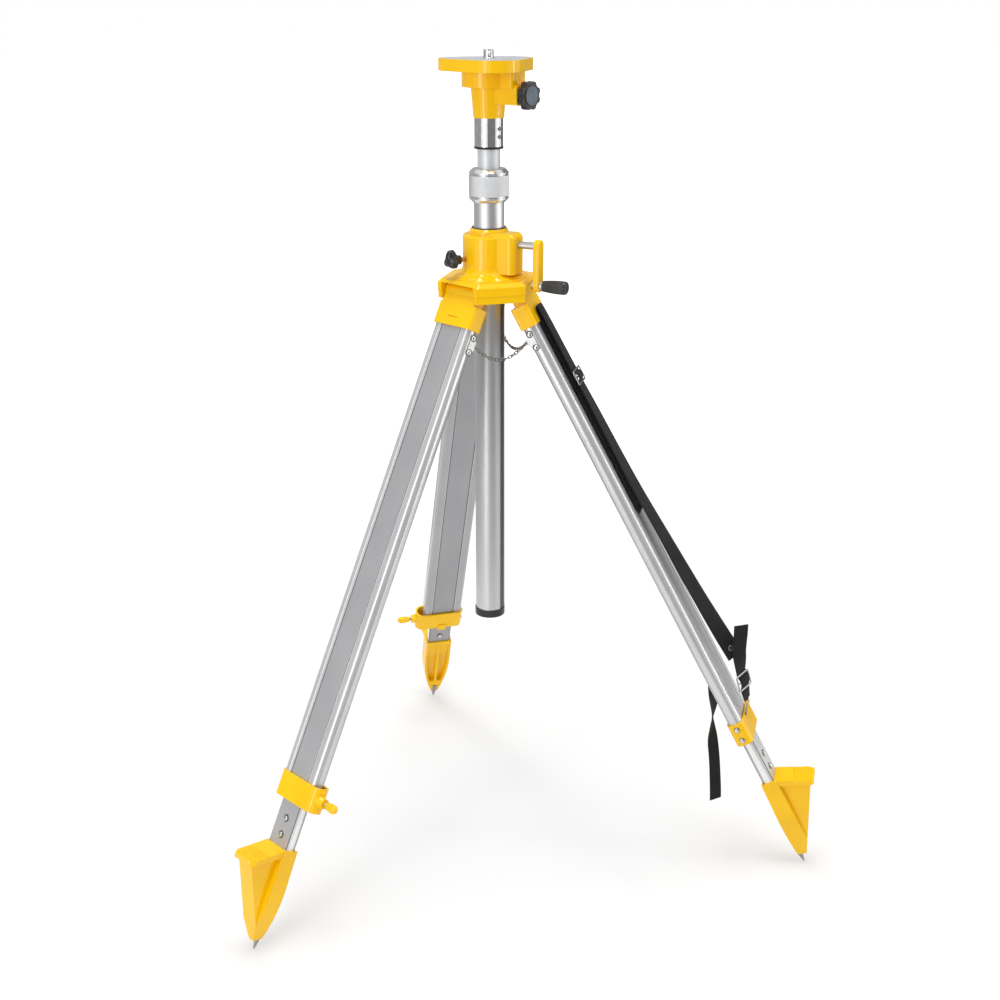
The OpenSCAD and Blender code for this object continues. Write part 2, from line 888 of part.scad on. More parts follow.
module upper_section()
    difference() {
        union() {
            for (s = [-1, 1]) translate([0, s * rail_y]) round_rect(leg_t, rail_w, rail_round);
            square([leg_t - 2 * panel_sink, leg_w - rail_w], center = true);
        }
        square([lower_t + 2 * slide_gap, lower_w + 2 * slide_gap], center = true);
        for (s = [-1, 1])
            translate([0, s * (leg_w / 2 - leg_wall - rail_hollow_w / 2)])
                round_rect(leg_t - 2 * leg_wall, rail_hollow_w, rail_hollow_r);
        for (f = [-1, 1], s = [-1, 1])
            translate([f * (leg_t / 2 - panel_sink), s * (leg_w / 2 - rail_w - groove_w)])
                square([2 * groove_d, groove_w], center = true);
    }

module leg_bracket(n)
    color(yellow)
        leg_place(n)
            difference() {
                union() {
                    along_y(-knuckle_w / 2, knuckle_w / 2, knuckle_r);
                    translate([-web_in, -knuckle_w / 2, -shoulder_drop - over])
                        cube([web_in + leg_t / 2 + cap_wall - leg_inset, knuckle_w, shoulder_drop + over]);
                    translate([-leg_inset, 0, -cap_drop])
                        linear_extrude(cap_drop - shoulder_drop)
                            round_rect(leg_t + 2 * cap_wall, leg_w + 2 * cap_wall, cap_round);
                }
                along_y(-knuckle_w, knuckle_w, pin_r + running);
                translate([-leg_inset, 0, -cap_drop - over])
                    linear_extrude(cap_drop - upper_top + over)
                        round_rect(leg_t + 2 * leg_fit, leg_w + 2 * leg_fit, rail_round);
                translate([leg_t / 2 + cap_wall - leg_inset - bracket_slot_d, -bracket_slot_w / 2,
                           -cap_drop + bracket_slot_up])
                    cube([2 * bracket_slot_d, bracket_slot_w, bracket_slot_h]);
            }

module leg_upper(n)
    color(silver)
        leg_middle(n)
            translate([0, 0, -upper_foot]) linear_extrude(upper_foot - upper_top) upper_section();

// Clamp band and wing screw
clamp_wall = 3.5;
clamp_t = leg_t + 2 * clamp_wall;
clamp_w = leg_w + 2 * clamp_wall;
clamp_round = 12;
clamp_end = 12;
end_taper = 0.5;
wing_boss_r = 8;
wing_boss_h = 9;
wing_taper_h = 6;
wing_stud_r = 3;
wing_stud_show = 6;
wing_l = 23;
wing_a = 13;
wing_b = 18;
wing_round = 5;
tab_w = 18;
tab_t = 2.2;
tab_h = 15;
tab_drop = 5;

module clamp_place(n) leg_middle(n) translate([0, 0, -clamp_at]) children();

end_y = clamp_w / 2 + clamp_end;
end_middle = end_y - clamp_t / 2;
boss_end = end_y + wing_boss_h;

// The band's round end beyond the leg, open inside
module clamp_end_outline(r) {
    translate([0, end_middle]) circle(r);
    translate([-r, 0]) square([2 * r, end_middle]);
}

module leg_clamp(n)
    color(yellow)
        clamp_place(n)
            difference() {
                union() {
                    translate([0, 0, -clamp_h / 2])
                        linear_extrude(clamp_h) {
                            round_rect(clamp_t, clamp_w, clamp_round);
                            clamp_end_outline(clamp_t / 2);
                        }
                    translate([0, end_middle, 0])
                        rotate([-90, 0, 0])
                            cylinder(r1 = clamp_t / 2 - end_taper, r2 = wing_boss_r,
                                     h = clamp_t / 2 + wing_taper_h);
                    along_y(end_middle, boss_end, wing_boss_r);
                    translate([-clamp_t / 2 - tab_t, -tab_w / 2, -clamp_h / 2 - tab_drop])
                        cube([tab_t + clamp_wall / 2, tab_w, tab_h]);
                }
                translate([0, 0, -clamp_h / 2 - tab_drop - over])
                    linear_extrude(clamp_h + 2 * tab_drop) {
                        round_rect(leg_t + 2 * leg_fit, leg_w + 2 * leg_fit, rail_round);
                        clamp_end_outline(leg_t / 2 + leg_fit);
                    }
                along_y(0, boss_end + over, wing_stud_r + running);
            }

module leg_wing(n)
    color(yellow)
        clamp_place(n)
            union() {
                along_y(leg_w / 2 + 3 * leg_fit, boss_end + wing_stud_show + wing_l / 2, wing_stud_r);
                translate([0, boss_end + wing_stud_show, 0])
                    rotate([-90, 0, 0])
                        linear_extrude(wing_l) round_rect(wing_a, wing_b, wing_round);
            }

// Plate round the leg's inner side with the chains' eyes, and the rivets of plate and clamp
anchor_at = 82;
anchor_h = 14;
anchor_t = 1.5;
cheek_h = 34;
cheek_in = 13;
rivet_r = 3.5;
rivet_h = 2;
rivet_pitch = 24;
rivet_x = 6;
eye_r = 3;
stem_r = 1.5;
clamp_rivet_r = 4;
clamp_rivet_pitch = 22;
stem_reach = 2;
leg_in_x = leg_inset + leg_t / 2 + leg_fit;

// Chains: first leg, place across it, second leg, place across it, sag
chain_ends_share = 0.45;
chain_second_share = 0.32;
chain_sag = [24, 22, 22];
chain_wire = 1.7;
chain_pitch = 6;
link_slack = 0.25;
link_in_w = 2.8;
chain_route = [
    [1, chain_ends_share, 2, -chain_ends_share],
    [2, -chain_second_share, 3, -chain_ends_share],
    [3, chain_ends_share, 1, -chain_ends_share]
];
eye_x = leg_in_x + anchor_t + stem_reach + eye_r;
hook_slack = 0.5;

// The inner wire of an eye, where a chain hooks in
function eye_hook(n, share) = leg_point(n, -eye_x - eye_r, share * leg_w, anchor_at);
function hook_a(k) = eye_hook(chain_route[k][0], chain_route[k][1]);
function hook_b(k) = eye_hook(chain_route[k][2], chain_route[k][3]);
function hook_way(k, s) = let (d = hook_b(k) - hook_a(k) - s * [0, 0, 4 * chain_sag[k]]) d / norm(d);
function chain_a(k) = hook_a(k) - (chain_wire / 2 + hook_slack) * hook_way(k, 1);
function chain_b(k) = hook_b(k) + (chain_wire / 2 + hook_slack) * hook_way(k, -1);
function chain_slope(k, t) = chain_b(k) - chain_a(k) - [0, 0, 4 * chain_sag[k] * (1 - 2 * t)];
function chain_spot(k, t) =
    chain_a(k) + t * (chain_b(k) - chain_a(k)) - [0, 0, 4 * chain_sag[k] * t * (1 - t)];
length_steps = 200;
function total(list, i = 0) = i < len(list) ? list[i] + total(list, i + 1) : 0;
function chain_length(k) =
    total([for (i = [0 : length_steps - 1]) norm(chain_slope(k, (i + 1 / 2) / length_steps))])
    / length_steps;

// An odd count, so that the first and the last link lie flat in the upright eyes
function chain_count(k) = 2 * floor(chain_length(k) / chain_pitch / 2) + 1;
function chain_gap(k) = chain_length(k) / chain_count(k);
function half_step(k, t) = t + chain_gap(k) / (2 * norm(chain_slope(k, t)));
function full_step(k, t) = t + chain_gap(k) / norm(chain_slope(k, half_step(k, t)));
function chain_spots(k) =
    [for (i = 0, t = half_step(k, 0); i < chain_count(k); i = i + 1, t = full_step(k, t)) t];

module chain_link(len_in) {
    mid_r = (link_in_w + chain_wire) / 2;
    straight = len_in - link_in_w;
    for (s = [-1, 1]) {
        translate([s * straight / 2, 0, 0])
            rotate([0, 0, s * 90 - 180])
                rotate_extrude(angle = 180) translate([mid_r, 0]) circle(chain_wire / 2);
        translate([0, s * mid_r, 0]) along_x(-straight / 2, straight / 2, chain_wire / 2);
    }
}

// Links of chain k, every second one turned on edge
module chain_links(k) {
    spots = chain_spots(k);
    for (i = [0 : len(spots) - 1]) {
        d = chain_slope(k, spots[i]);
        translate(chain_spot(k, spots[i]))
            rotate([0, -atan2(d[2], norm([d[0], d[1]])), atan2(d[1], d[0])])
                rotate([i % 2 * 90, 0, 0])
                    chain_link(chain_gap(k) + link_slack);
    }
}

module spreader_chain()
    color(steel)
        for (k = [0 : len(chain_route) - 1]) chain_links(k);

module leg_fittings(n)
    color(steel) {
        union() {
            leg_place(n) {
                translate([-leg_in_x - anchor_t, -leg_w / 2 - anchor_t, -anchor_at - anchor_h / 2])
                    cube([anchor_t, leg_w + 2 * anchor_t, anchor_h]);
                for (s = [-1, 1])
                    translate([0, s * (leg_w / 2 + leg_fit + anchor_t / 2), 0])
                        across(anchor_t)
                            polygon([[-leg_in_x - anchor_t, -anchor_at - anchor_h / 2],
                                     [-leg_in_x - anchor_t, -anchor_at + anchor_h / 2],
                                     [-leg_in_x + cheek_in, -anchor_at + cheek_h / 2],
                                     [-leg_in_x + cheek_in, -anchor_at - cheek_h / 2]]);
                for (s = [-1, 1], i = [-1, 1])
                    translate([-leg_in_x + rivet_x + rivet_r / 2, 0, -anchor_at + i * rivet_pitch / 2])
                        rotate([0, 0, s * 90]) along_x(leg_w / 2 + leg_fit, leg_w / 2 + anchor_t + rivet_h, rivet_r);
                for (route = chain_route, e = [0, 2])
                    if (route[e] == n)
                        translate([-eye_x, route[e + 1] * leg_w, -anchor_at]) {
                            rotate([90, 0, 0])
                                rotate_extrude() translate([eye_r, 0]) circle(chain_wire / 2);
                            along_x(eye_r, eye_r + stem_reach + anchor_t / 2, stem_r);
                        }
            }
        }
        clamp_place(n)
            for (i = [-1, 1])
                translate([0, 0, i * clamp_rivet_pitch / 2])
                    along_y(-clamp_w / 2 - rivet_h, -clamp_w / 2, clamp_rivet_r);
    }

// Lower leg and foot, measured from the spike's tip
foot_in = 140;
lower_wall = 2;
lower_round = 2;
foot_bolt_r = 4.5;
foot_bolt_h = 2.5;
foot_bolt_at = [200, 228];
foot_cant = 27;
foot_wall = 3;
foot_skin = 1;
foot_fit = 0.1;
foot_nose = 3.4;
foot_tip_out = 4;
step_rise = 3;
step_t = 9;
step_w = 52;
step_round = 14;
step_ribs = 6;
step_rib_r = 1.4;
ogive_at = 120;
ogive_half = 7;
hollow_rim = 5;
hollow_depth = 11;
hollow_low = 52;
hollow_top = 172;
rib_half = 2.8;
web_w = 34;
flute_in = 6;
spike_seat = 18;
spike_point = 1.2;

module lower_place(n) foot_place(n) translate([spike_off, 0, 0]) children();

module leg_lower(n)
    color(silver)
        lower_place(n)
            translate([0, 0, foot_in])
                linear_extrude(lower_len)
                    difference() {
                        round_rect(lower_t, lower_w, lower_round);
                        square([lower_t - 2 * lower_wall, lower_w - 2 * lower_wall], center = true);
                    }

module leg_bolts(n)
    color(steel)
        lower_place(n)
            for (z = foot_bolt_at, s = [0, 180])
                translate([0, 0, z])
                    rotate([0, 0, s]) along_x(lower_t / 2, lower_t / 2 + foot_bolt_h, foot_bolt_r);

// A point given plumb: u outwards and z up from the spike's tip, turned into the foot's own axes
function plumb(u, z) =
    [u * cos(foot_cant) + z * sin(foot_cant), -u * sin(foot_cant) + z * cos(foot_cant)];

leg_out_x = spike_off + lower_t / 2;
leg_back_x = spike_off - lower_t / 2;
step_root = [leg_out_x, foot_top];
step_lip = plumb(step_reach, foot_top + step_rise);
step_down = plumb(0, -step_t);

// Side view of the foot without its step
module foot_side()
    polygon([[-foot_nose, spike_show], [leg_back_x - foot_wall, foot_top], step_root,
             plumb(foot_tip_out, foot_top + step_rise - step_t / 2), plumb(foot_tip_out, spike_show)]);

// Front view of the foot: straight sides that close to the nose on two arcs
module foot_front(inset) {
    fall = ogive_at - spike_show;
    draw_in = foot_w / 2 - ogive_half;
    arc_r = (fall * fall + draw_in * draw_in) / (2 * draw_in);
    translate([inset - foot_w / 2, ogive_at]) square([foot_w - 2 * inset, foot_top]);
    intersection_for(s = [-1, 1])
        translate([s * (foot_w / 2 - arc_r), ogive_at]) circle(arc_r - inset, $fn = 2 * $fn);
}

module foot_front_solid(x0, x1)
    rotate([90, 0, 90]) translate([0, 0, x0]) linear_extrude(x1 - x0) children();

// Tongue that the boot treads on, ribbed across
module foot_step()
    intersection() {
        across(step_w + over)
            difference() {
                polygon([step_root - [foot_wall, 0], step_root, step_lip, step_lip + step_down,
                         step_root + step_down - [foot_wall, 0]]);
                for (i = [1 : step_ribs])
                    translate(step_lip + (step_root - step_lip) * i / (2 * step_ribs)) circle(step_rib_r);
            }
        linear_extrude(2 * foot_top) round_rect(2 * step_lip[0], step_w, step_round);
    }

// Space beside the web that carries the step
module foot_flute()
    polygon([[leg_out_x + flute_in, hollow_low], [leg_out_x + flute_in, foot_top],
             step_lip + [step_t, 0], plumb(foot_top, hollow_low)]);

// Hollow of the foot's inner face on both sides of its rib, between two heights
module foot_hollow(z0, z1)
    difference() {
        intersection() {
            foot_front(hollow_rim);
            translate([-foot_w, z0]) square([2 * foot_w, z1 - z0]);
        }
        translate([-rib_half, 0]) square([2 * rib_half, foot_top]);
    }

module leg_foot(n)
    color(yellow)
        foot_place(n)
            difference() {
                union() {
                    difference() {
                        intersection() {
                            across(foot_w + 2 * over) foot_side();
                            foot_front_solid(-foot_w, 3 * foot_w) foot_front(0);
                        }
                        for (s = [-1, 1])
                            translate([0, s * (web_w + foot_w) / 2, 0]) across(foot_w) foot_flute();
                    }
                    foot_step();
                }
                translate([spike_off, 0, foot_in])
                    linear_extrude(lower_len)
                        round_rect(lower_t + 2 * foot_fit, lower_w + 2 * foot_fit, lower_round);
                foot_front_solid(-foot_w, hollow_depth - foot_nose)
                    foot_hollow(hollow_low, foot_in - foot_wall);
                foot_front_solid(-foot_w, leg_back_x - foot_skin) foot_hollow(hollow_low, hollow_top);
                translate([0, 0, -over]) cylinder(r = spike_d / 2 + seat, h = spike_show + spike_seat + over);
            }

module leg_spike(n)
    color(steel)
        foot_place(n)
            union() {
                translate([0, 0, spike_show]) cylinder(r = spike_d / 2, h = spike_seat - seat);
                translate([0, 0, spike_point])
                    cylinder(r1 = spike_point, r2 = spike_d / 2, h = spike_show - spike_point);
                translate([0, 0, spike_point]) sphere(spike_point);
            }

// Carrying strap on leg 2, drawn in the leg's own x and z
strap_leg = 2;
strap_lift = 1.2;
bracket_x = leg_t / 2 + cap_wall - leg_inset;
rail_x = leg_t / 2 - leg_inset;
strap_up = 22;
strap_top = cap_drop - strap_up;
strap_off = 9;
strap_bow = 20;
strap_middle = 430;
strap_foot = 738;
bow_middle_share = 0.2;
strap_fold = 3;

// Ribbon of the strap's thickness along points of its middle line
module ribbon(points) {
    n = len(points);
    side = [for (i = [0 : n - 1])
        let (d = points[min(i + 1, n - 1)] - points[max(i - 1, 0)])
        strap_t / 2 * [-d[1], d[0]] / norm(d)];
    polygon(concat([for (i = [0 : n - 1]) points[i] + side[i]],
                   [for (i = [n - 1 : -1 : 0]) points[i] - side[i]]));
}

strap_in_x = rail_x + strap_lift + strap_t / 2;
strap_over_x = bracket_x + strap_lift + strap_t / 2;
strap_out_x = strap_over_x + strap_t + strap_fold;
strap_run_x = strap_in_x + strap_off;
strap_foot_x = strap_run_x + strap_bow;

// The webbing runs up the leg's face, over the bracket, folds and comes down again in a bow
module strap_webbing()
    color(black)
        leg_place(strap_leg)
            across(strap_w)
                ribbon([[strap_in_x, -strap_middle], [strap_in_x, -cap_drop - 6 * strap_t],
                        [strap_over_x, -cap_drop + strap_t], [strap_over_x, -strap_top],
                        [(strap_over_x + strap_out_x) / 2, -strap_top + strap_fold],
                        [strap_out_x, -strap_top], [strap_run_x, -2 * cap_drop],
                        [strap_run_x + bow_middle_share * strap_bow, -strap_middle],
                        [strap_foot_x, -strap_foot]]);

// Patch with a turned-up end, and the short strap that runs down to the hook on the clamp
patch_bend = 718;
patch_foot = 745;
patch_up = 28;
patch_out = 34;
patch_up_share = 0.3;
patch_out_share = 0.45;
strap_gap = 0.4;
patch_x = strap_foot_x + strap_t + strap_gap;
tail_at = 775;
tail_w = 25;
tail_t = 1.6;
tail_gap = 0.3;
tail_x = leg_inset + leg_t / 2 - panel_sink + tail_t / 2 + tail_gap;

// Slide buckle, frame buckle, rivet and hook
buckle_t = 2.4;
buckle_bar = 3;
buckle_round = 4;
buckle_w = strap_w + 4 * buckle_bar;
slide_at = 172;
slide_l = 26;
frame_at = 786;
frame_l = 30;
slide_share = (slide_at + slide_l / 2 - 2 * cap_drop) / (strap_middle - 2 * cap_drop);
slide_x = strap_run_x + slide_share * bow_middle_share * strap_bow;
hook_w = 20;
hook_l = 28;
hook_at = 835;
hook_lean = 30;
rivet_head_r = 4.5;
rivet_at = 728;

// The hook leans from the short strap's end to the clamp's face
hook_x = clamp_t / 2 - leg_inset + strap_gap + hook_l / 2 * sin(hook_lean);
short_end = [hook_x + hook_l / 2 * sin(hook_lean), -hook_at + hook_l / 2 * cos(hook_lean) + strap_t];
short_lean = atan2(patch_x - short_end[0], -short_end[1] - patch_foot);

module strap_tail()
    color(black) {
        leg_place(strap_leg)
            across(strap_w)
                ribbon([[patch_x + patch_out, -patch_bend + patch_up],
                        [patch_x + patch_out_share * patch_out, -patch_bend + patch_up_share * patch_up],
                        [patch_x, -patch_bend], [patch_x, -patch_foot], short_end]);
        translate(leg_point(strap_leg, -tail_x, 0, tail_at))
            rotate([0, 0, leg_az(strap_leg)])
                translate([-tail_t / 2, -tail_w / 2, -tail_len])
                    cube([tail_t, tail_w, tail_len]);
    }

// Flat frame that stands on the leg's face, with a middle bar where the webbing runs through
module buckle_frame(w, l, bar)
    rotate([90, 0, 90])
        linear_extrude(buckle_t)
            difference() {
                round_rect(w, l, buckle_round);
                difference() {
                    round_rect(w - 2 * buckle_bar, l - 2 * buckle_bar, buckle_round - buckle_bar / 2);
                    if (bar) square([w, buckle_bar], center = true);
                }
            }

module strap_buckles()
    color(steel)
        leg_place(strap_leg) {
            translate([slide_x + strap_t / 2 + strap_gap, 0, -slide_at])
                buckle_frame(buckle_w, slide_l, true);
            translate([patch_x - (frame_at - patch_foot) * tan(short_lean), 0, -frame_at])
                rotate([0, short_lean, 0])
                    translate([strap_t / 2 + strap_gap, 0, 0]) buckle_frame(buckle_w, frame_l, true);
            translate([patch_x, 0, -rivet_at]) along_x(strap_t / 2 + seat, strap_t, rivet_head_r);
            translate([hook_x, 0, -hook_at])
                rotate([0, hook_lean, 0]) buckle_frame(hook_w, hook_l, false);
        }

LEG_NODES = ["bracket", "upper", "clamp", "fittings", "wing", "lower", "foot", "bolts", "spike"];

hub_casting();
hub_plate();
hub_screws();
hinge_pins();
column_bushes();
spreader_chain();
column_tube();
column_rack();
column_cap();
column_collet();
collar_nut();
inner_tube();
inner_guide();
head_sleeve();
sleeve_ring();
sleeve_screws();
head_casting();
head_pad();
head_screw();
head_knob();
knob_disc();
knob_shaft();
crank_shaft();
crank_arm();
grip_bolt();
crank_grip();
pinion_shaft();
lock_knob();
lock_stud();
for (n = [1 : leg_count]) {
    leg_bracket(n);
    leg_upper(n);
    leg_clamp(n);
    leg_fittings(n);
    leg_wing(n);
    leg_lower(n);
    leg_foot(n);
    leg_bolts(n);
    leg_spike(n);
}
strap_webbing();
strap_tail();
strap_buckles();
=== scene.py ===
"""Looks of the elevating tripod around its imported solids, in metres, in the part's own frame.

Lengths of the pieces are written in millimetres, as in the part's source, and turned into metres
when a piece is placed.
"""

import math

import bpy
import numpy as np
from mathutils import Euler, Matrix, Vector


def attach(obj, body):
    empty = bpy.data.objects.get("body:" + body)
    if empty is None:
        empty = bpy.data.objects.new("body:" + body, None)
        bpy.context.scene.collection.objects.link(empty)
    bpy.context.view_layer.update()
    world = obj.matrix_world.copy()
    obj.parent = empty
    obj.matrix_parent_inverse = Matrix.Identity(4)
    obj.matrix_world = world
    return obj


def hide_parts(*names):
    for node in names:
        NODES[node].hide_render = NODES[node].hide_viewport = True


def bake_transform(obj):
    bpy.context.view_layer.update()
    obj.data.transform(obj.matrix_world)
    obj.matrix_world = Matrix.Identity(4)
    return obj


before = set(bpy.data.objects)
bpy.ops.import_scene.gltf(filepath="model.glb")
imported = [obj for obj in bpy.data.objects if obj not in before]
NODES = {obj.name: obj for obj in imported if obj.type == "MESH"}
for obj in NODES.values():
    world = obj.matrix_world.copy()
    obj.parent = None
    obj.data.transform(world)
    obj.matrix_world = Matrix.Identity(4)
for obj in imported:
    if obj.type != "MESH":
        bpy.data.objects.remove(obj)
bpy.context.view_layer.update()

MM = 0.001
TAU = 2 * math.pi

# Stance of the legs, as in the part's source
HINGE_Z, HINGE_R, LEG_INSET, TIP_OFF, SPIKE_OFF = 1025.0, 54.0, 5.0, 20.0, 15.0
LEG_AZIMUTH = {1: -135.0, 2: -15.0, 3: 105.0}
SPREAD = {1: 27.1, 2: 28.7, 3: 24.5}
LEG_W, LEG_T, RAIL_W, GROOVE_W, LOWER_W, LOWER_T = 80.0, 24.5, 17.0, 1.6, 46.0, 20.0
COLLAR_FOOT, COLLAR_H, HUB_TOP = 1167.0, 53.0, 100.0
CLAMP_AT, CLAMP_W, BOSS_END, STUD_SHOW = 863.0, 87.0, 64.5, 3.5
LEGS = (1, 2, 3)

# Crank and lock on the hub, as in the part's source
CRANK_AZIMUTH, CRANK_SIDE, CRANK_RISE, CRANK_THROW = -26.0, -10.0, 77.0, 64.0
ARM_OUT, GRIP_OUT = 88.0, 103.4
LOCK_AZIMUTH, LOCK_RISE, LOCK_OUT = -152.0, 51.0, 54.0


# Places

def turn(axis, degrees):
    """Matrix that turns about a coordinate axis by an angle."""
    c, s = math.cos(math.radians(degrees)), math.sin(math.radians(degrees))
    i, j = {"x": (1, 2), "y": (2, 0), "z": (0, 1)}[axis]
    m = np.eye(3)
    m[i, i] = m[j, j] = c
    m[i, j], m[j, i] = -s, s
    return m


class Place:
    """A local frame: a point p in millimetres lies at origin + axes times p, in metres."""

    def __init__(self, axes, origin):
        self.axes, self.origin = np.asarray(axes, float), np.asarray(origin, float)

    def __call__(self, p):
        return (np.asarray(p, float) @ self.axes.T + self.origin) * MM

    def then(self, axes=np.eye(3), origin=(0, 0, 0)):
        """The frame that has these axes and this origin inside this one."""
        return Place(self.axes @ axes, self.axes @ np.asarray(origin, float) + self.origin)


WORLD = Place(np.eye(3), (0, 0, 0))
TO_X = turn("y", 90)


def leg_place(n):
    """The leg's frame at its hinge pin: x outwards, y across, z up the leg."""
    az = turn("z", LEG_AZIMUTH[n])
    return Place(az @ turn("y", -SPREAD[n]), az @ np.array([HINGE_R, 0, HINGE_Z]))


def leg_length(n):
    """Distance from the hinge pin along the leg to its spike's tip, which stands on the ground."""
    s = math.radians(SPREAD[n])
    return (HINGE_Z - TIP_OFF * math.sin(s)) / math.cos(s)


def axis_place(azimuth, y, z):
    """A frame at the hub whose z axis points outwards at an azimuth, beside and above the hinge level."""
    return Place(turn("z", azimuth), (0, 0, HINGE_Z)).then(TO_X, (0, y, z))


def aim(direction):
    """Axes whose z points along a direction."""
    z = np.asarray(direction, float) / np.linalg.norm(direction)
    x = np.cross([0, 1, 0] if abs(z[1]) < 0.9 else [1, 0, 0], z)
    x /= np.linalg.norm(x)
    return np.stack([x, np.cross(z, x), z], axis=1)


# Meshes

def skin(rings, loop=False):
    """Closed surface through rings of points: each ring closes on itself, and the row of rings either
    closes too or is capped with a fan at both ends. Returns points, quads and triangles, faces outwards."""
    m, n, _ = rings.shape
    points = rings.reshape(-1, 3)
    i = np.arange(m if loop else m - 1)[:, None]
    j = np.arange(n)[None, :]
    k, after = (i + 1) % m, (j + 1) % n
    quads = np.stack([i * n + j, i * n + after, k * n + after, k * n + j], axis=-1).reshape(-1, 4)
    tris = np.zeros((0, 3), int)
    if not loop:
        points = np.vstack([points, rings[0].mean(0), rings[-1].mean(0)])
        a = np.arange(n)
        b = (a + 1) % n
        foot = np.stack([np.full(n, m * n), b, a], axis=1)
        top = np.stack([np.full(n, m * n + 1), (m - 1) * n + a, (m - 1) * n + b], axis=1)
        tris = np.vstack([foot, top])
    volume = sum(
        np.einsum("ij,ij->", np.cross(points[f[:, 0]], points[f[:, 1]]), points[f[:, 2]])
        for f in (quads[:, [0, 1, 2]], quads[:, [0, 2, 3]], tris)
    )
    if volume < 0:
        quads, tris = quads[:, ::-1], tris[:, ::-1]
    return points, quads, tris


def lathe(profile, place, count=48, loop=False, swell=None):
    """A profile of (radius, height) pairs turned about the frame's z axis. swell(angle, height) is added
    to the radius."""
    profile = np.asarray(profile, float)
    angle = np.arange(count)[None, :] * TAU / count
    r, z = profile[:, :1], profile[:, 1:]
    r = r + (swell(angle, z) if swell else 0)
    rings = np.stack([r * np.cos(angle), r * np.sin(angle), np.broadcast_to(z, (len(z), count))], axis=-1)
    return skin(place(rings), loop)


def dome(place, r, h, sunk=0.6):
    """A low rivet head on the frame's z axis: a short rim, then a quarter ellipse up to the crown."""
    a = np.linspace(0, 0.94 * math.pi / 2, 7)
    return lathe([(r, -sunk)] + [(r * math.cos(t), h * math.sin(t)) for t in a], place, 28)


def tube(path, side, up, a, b, count=14, loop=False):
    """An oval section of half axes a along side and b along up, carried along a path."""
    t = np.arange(count) * TAU / count
    wide = a * np.cos(t)[None, :, None] * side[:, None]
    high = b * np.sin(t)[None, :, None] * up[:, None]
    return skin(path[:, None] + wide + high, loop)


def rounded_frame(w, l, corner, steps=8):
    """Middle line of a rounded rectangle in the y z plane: four quarter circles in a row, with the
    outward direction at each point."""
    a = np.concatenate([np.linspace(k, k + 1, steps) for k in range(4)]) * math.pi / 2
    sy = np.repeat([1, -1, -1, 1], steps) * (w / 2 - corner)
    sz = np.repeat([1, 1, -1, -1], steps) * (l / 2 - corner)
    out = np.stack([0 * a, np.cos(a), np.sin(a)], axis=1)
    return np.stack([0 * a, sy, sz], axis=1) + corner * out, out


def piece(name, parts, material, body, sharp=38.0, uv=None):
    """One mesh object of several closed parts, smooth up to an edge angle, riding on a body."""
    points, faces, base = [], [], 0
    for p, quads, tris in parts:
        points.append(p)
        faces += (quads + base).tolist() + (tris + base).tolist()
        base += len(p)
    mesh = bpy.data.meshes.new(name)
    mesh.from_pydata(np.vstack(points), [], faces)
    mesh.polygons.foreach_set("use_smooth", np.ones(len(faces), bool))
    mesh.set_sharp_from_angle(angle=math.radians(sharp))
    if uv is not None:
        corner = np.zeros(len(mesh.loops), np.int32)
        mesh.loops.foreach_get("vertex_index", corner)
        layer = mesh.uv_layers.new(name="length")
        layer.data.foreach_set("uv", uv[corner].astype(np.float32).ravel())
    mesh.materials.append(material)
    obj = bpy.data.objects.new(name, mesh)
    bpy.context.scene.collection.objects.link(obj)
    if body:
        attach(obj, body)
    return obj


# Finishes

class Nodes:
    """A node tree, with short calls that add a node and set or link its sockets."""

    def __init__(self, tree):
        self.tree = tree

    def set(self, node, values):
        for key, value in values.items():
            if hasattr(value, "is_output"):
                self.tree.links.new(value, node.inputs[key])
            else:
                node.inputs[key].default_value = value
        return node

    def new(self, kind, values=None, **options):
        node = self.tree.nodes.new("ShaderNode" + kind)
        for key, value in options.items():
            setattr(node, key, value)
        return self.set(node, values or {})

    def math(self, operation, a, b=0.0):
        return self.new("Math", {0: a, 1: b}, operation=operation).outputs["Value"]


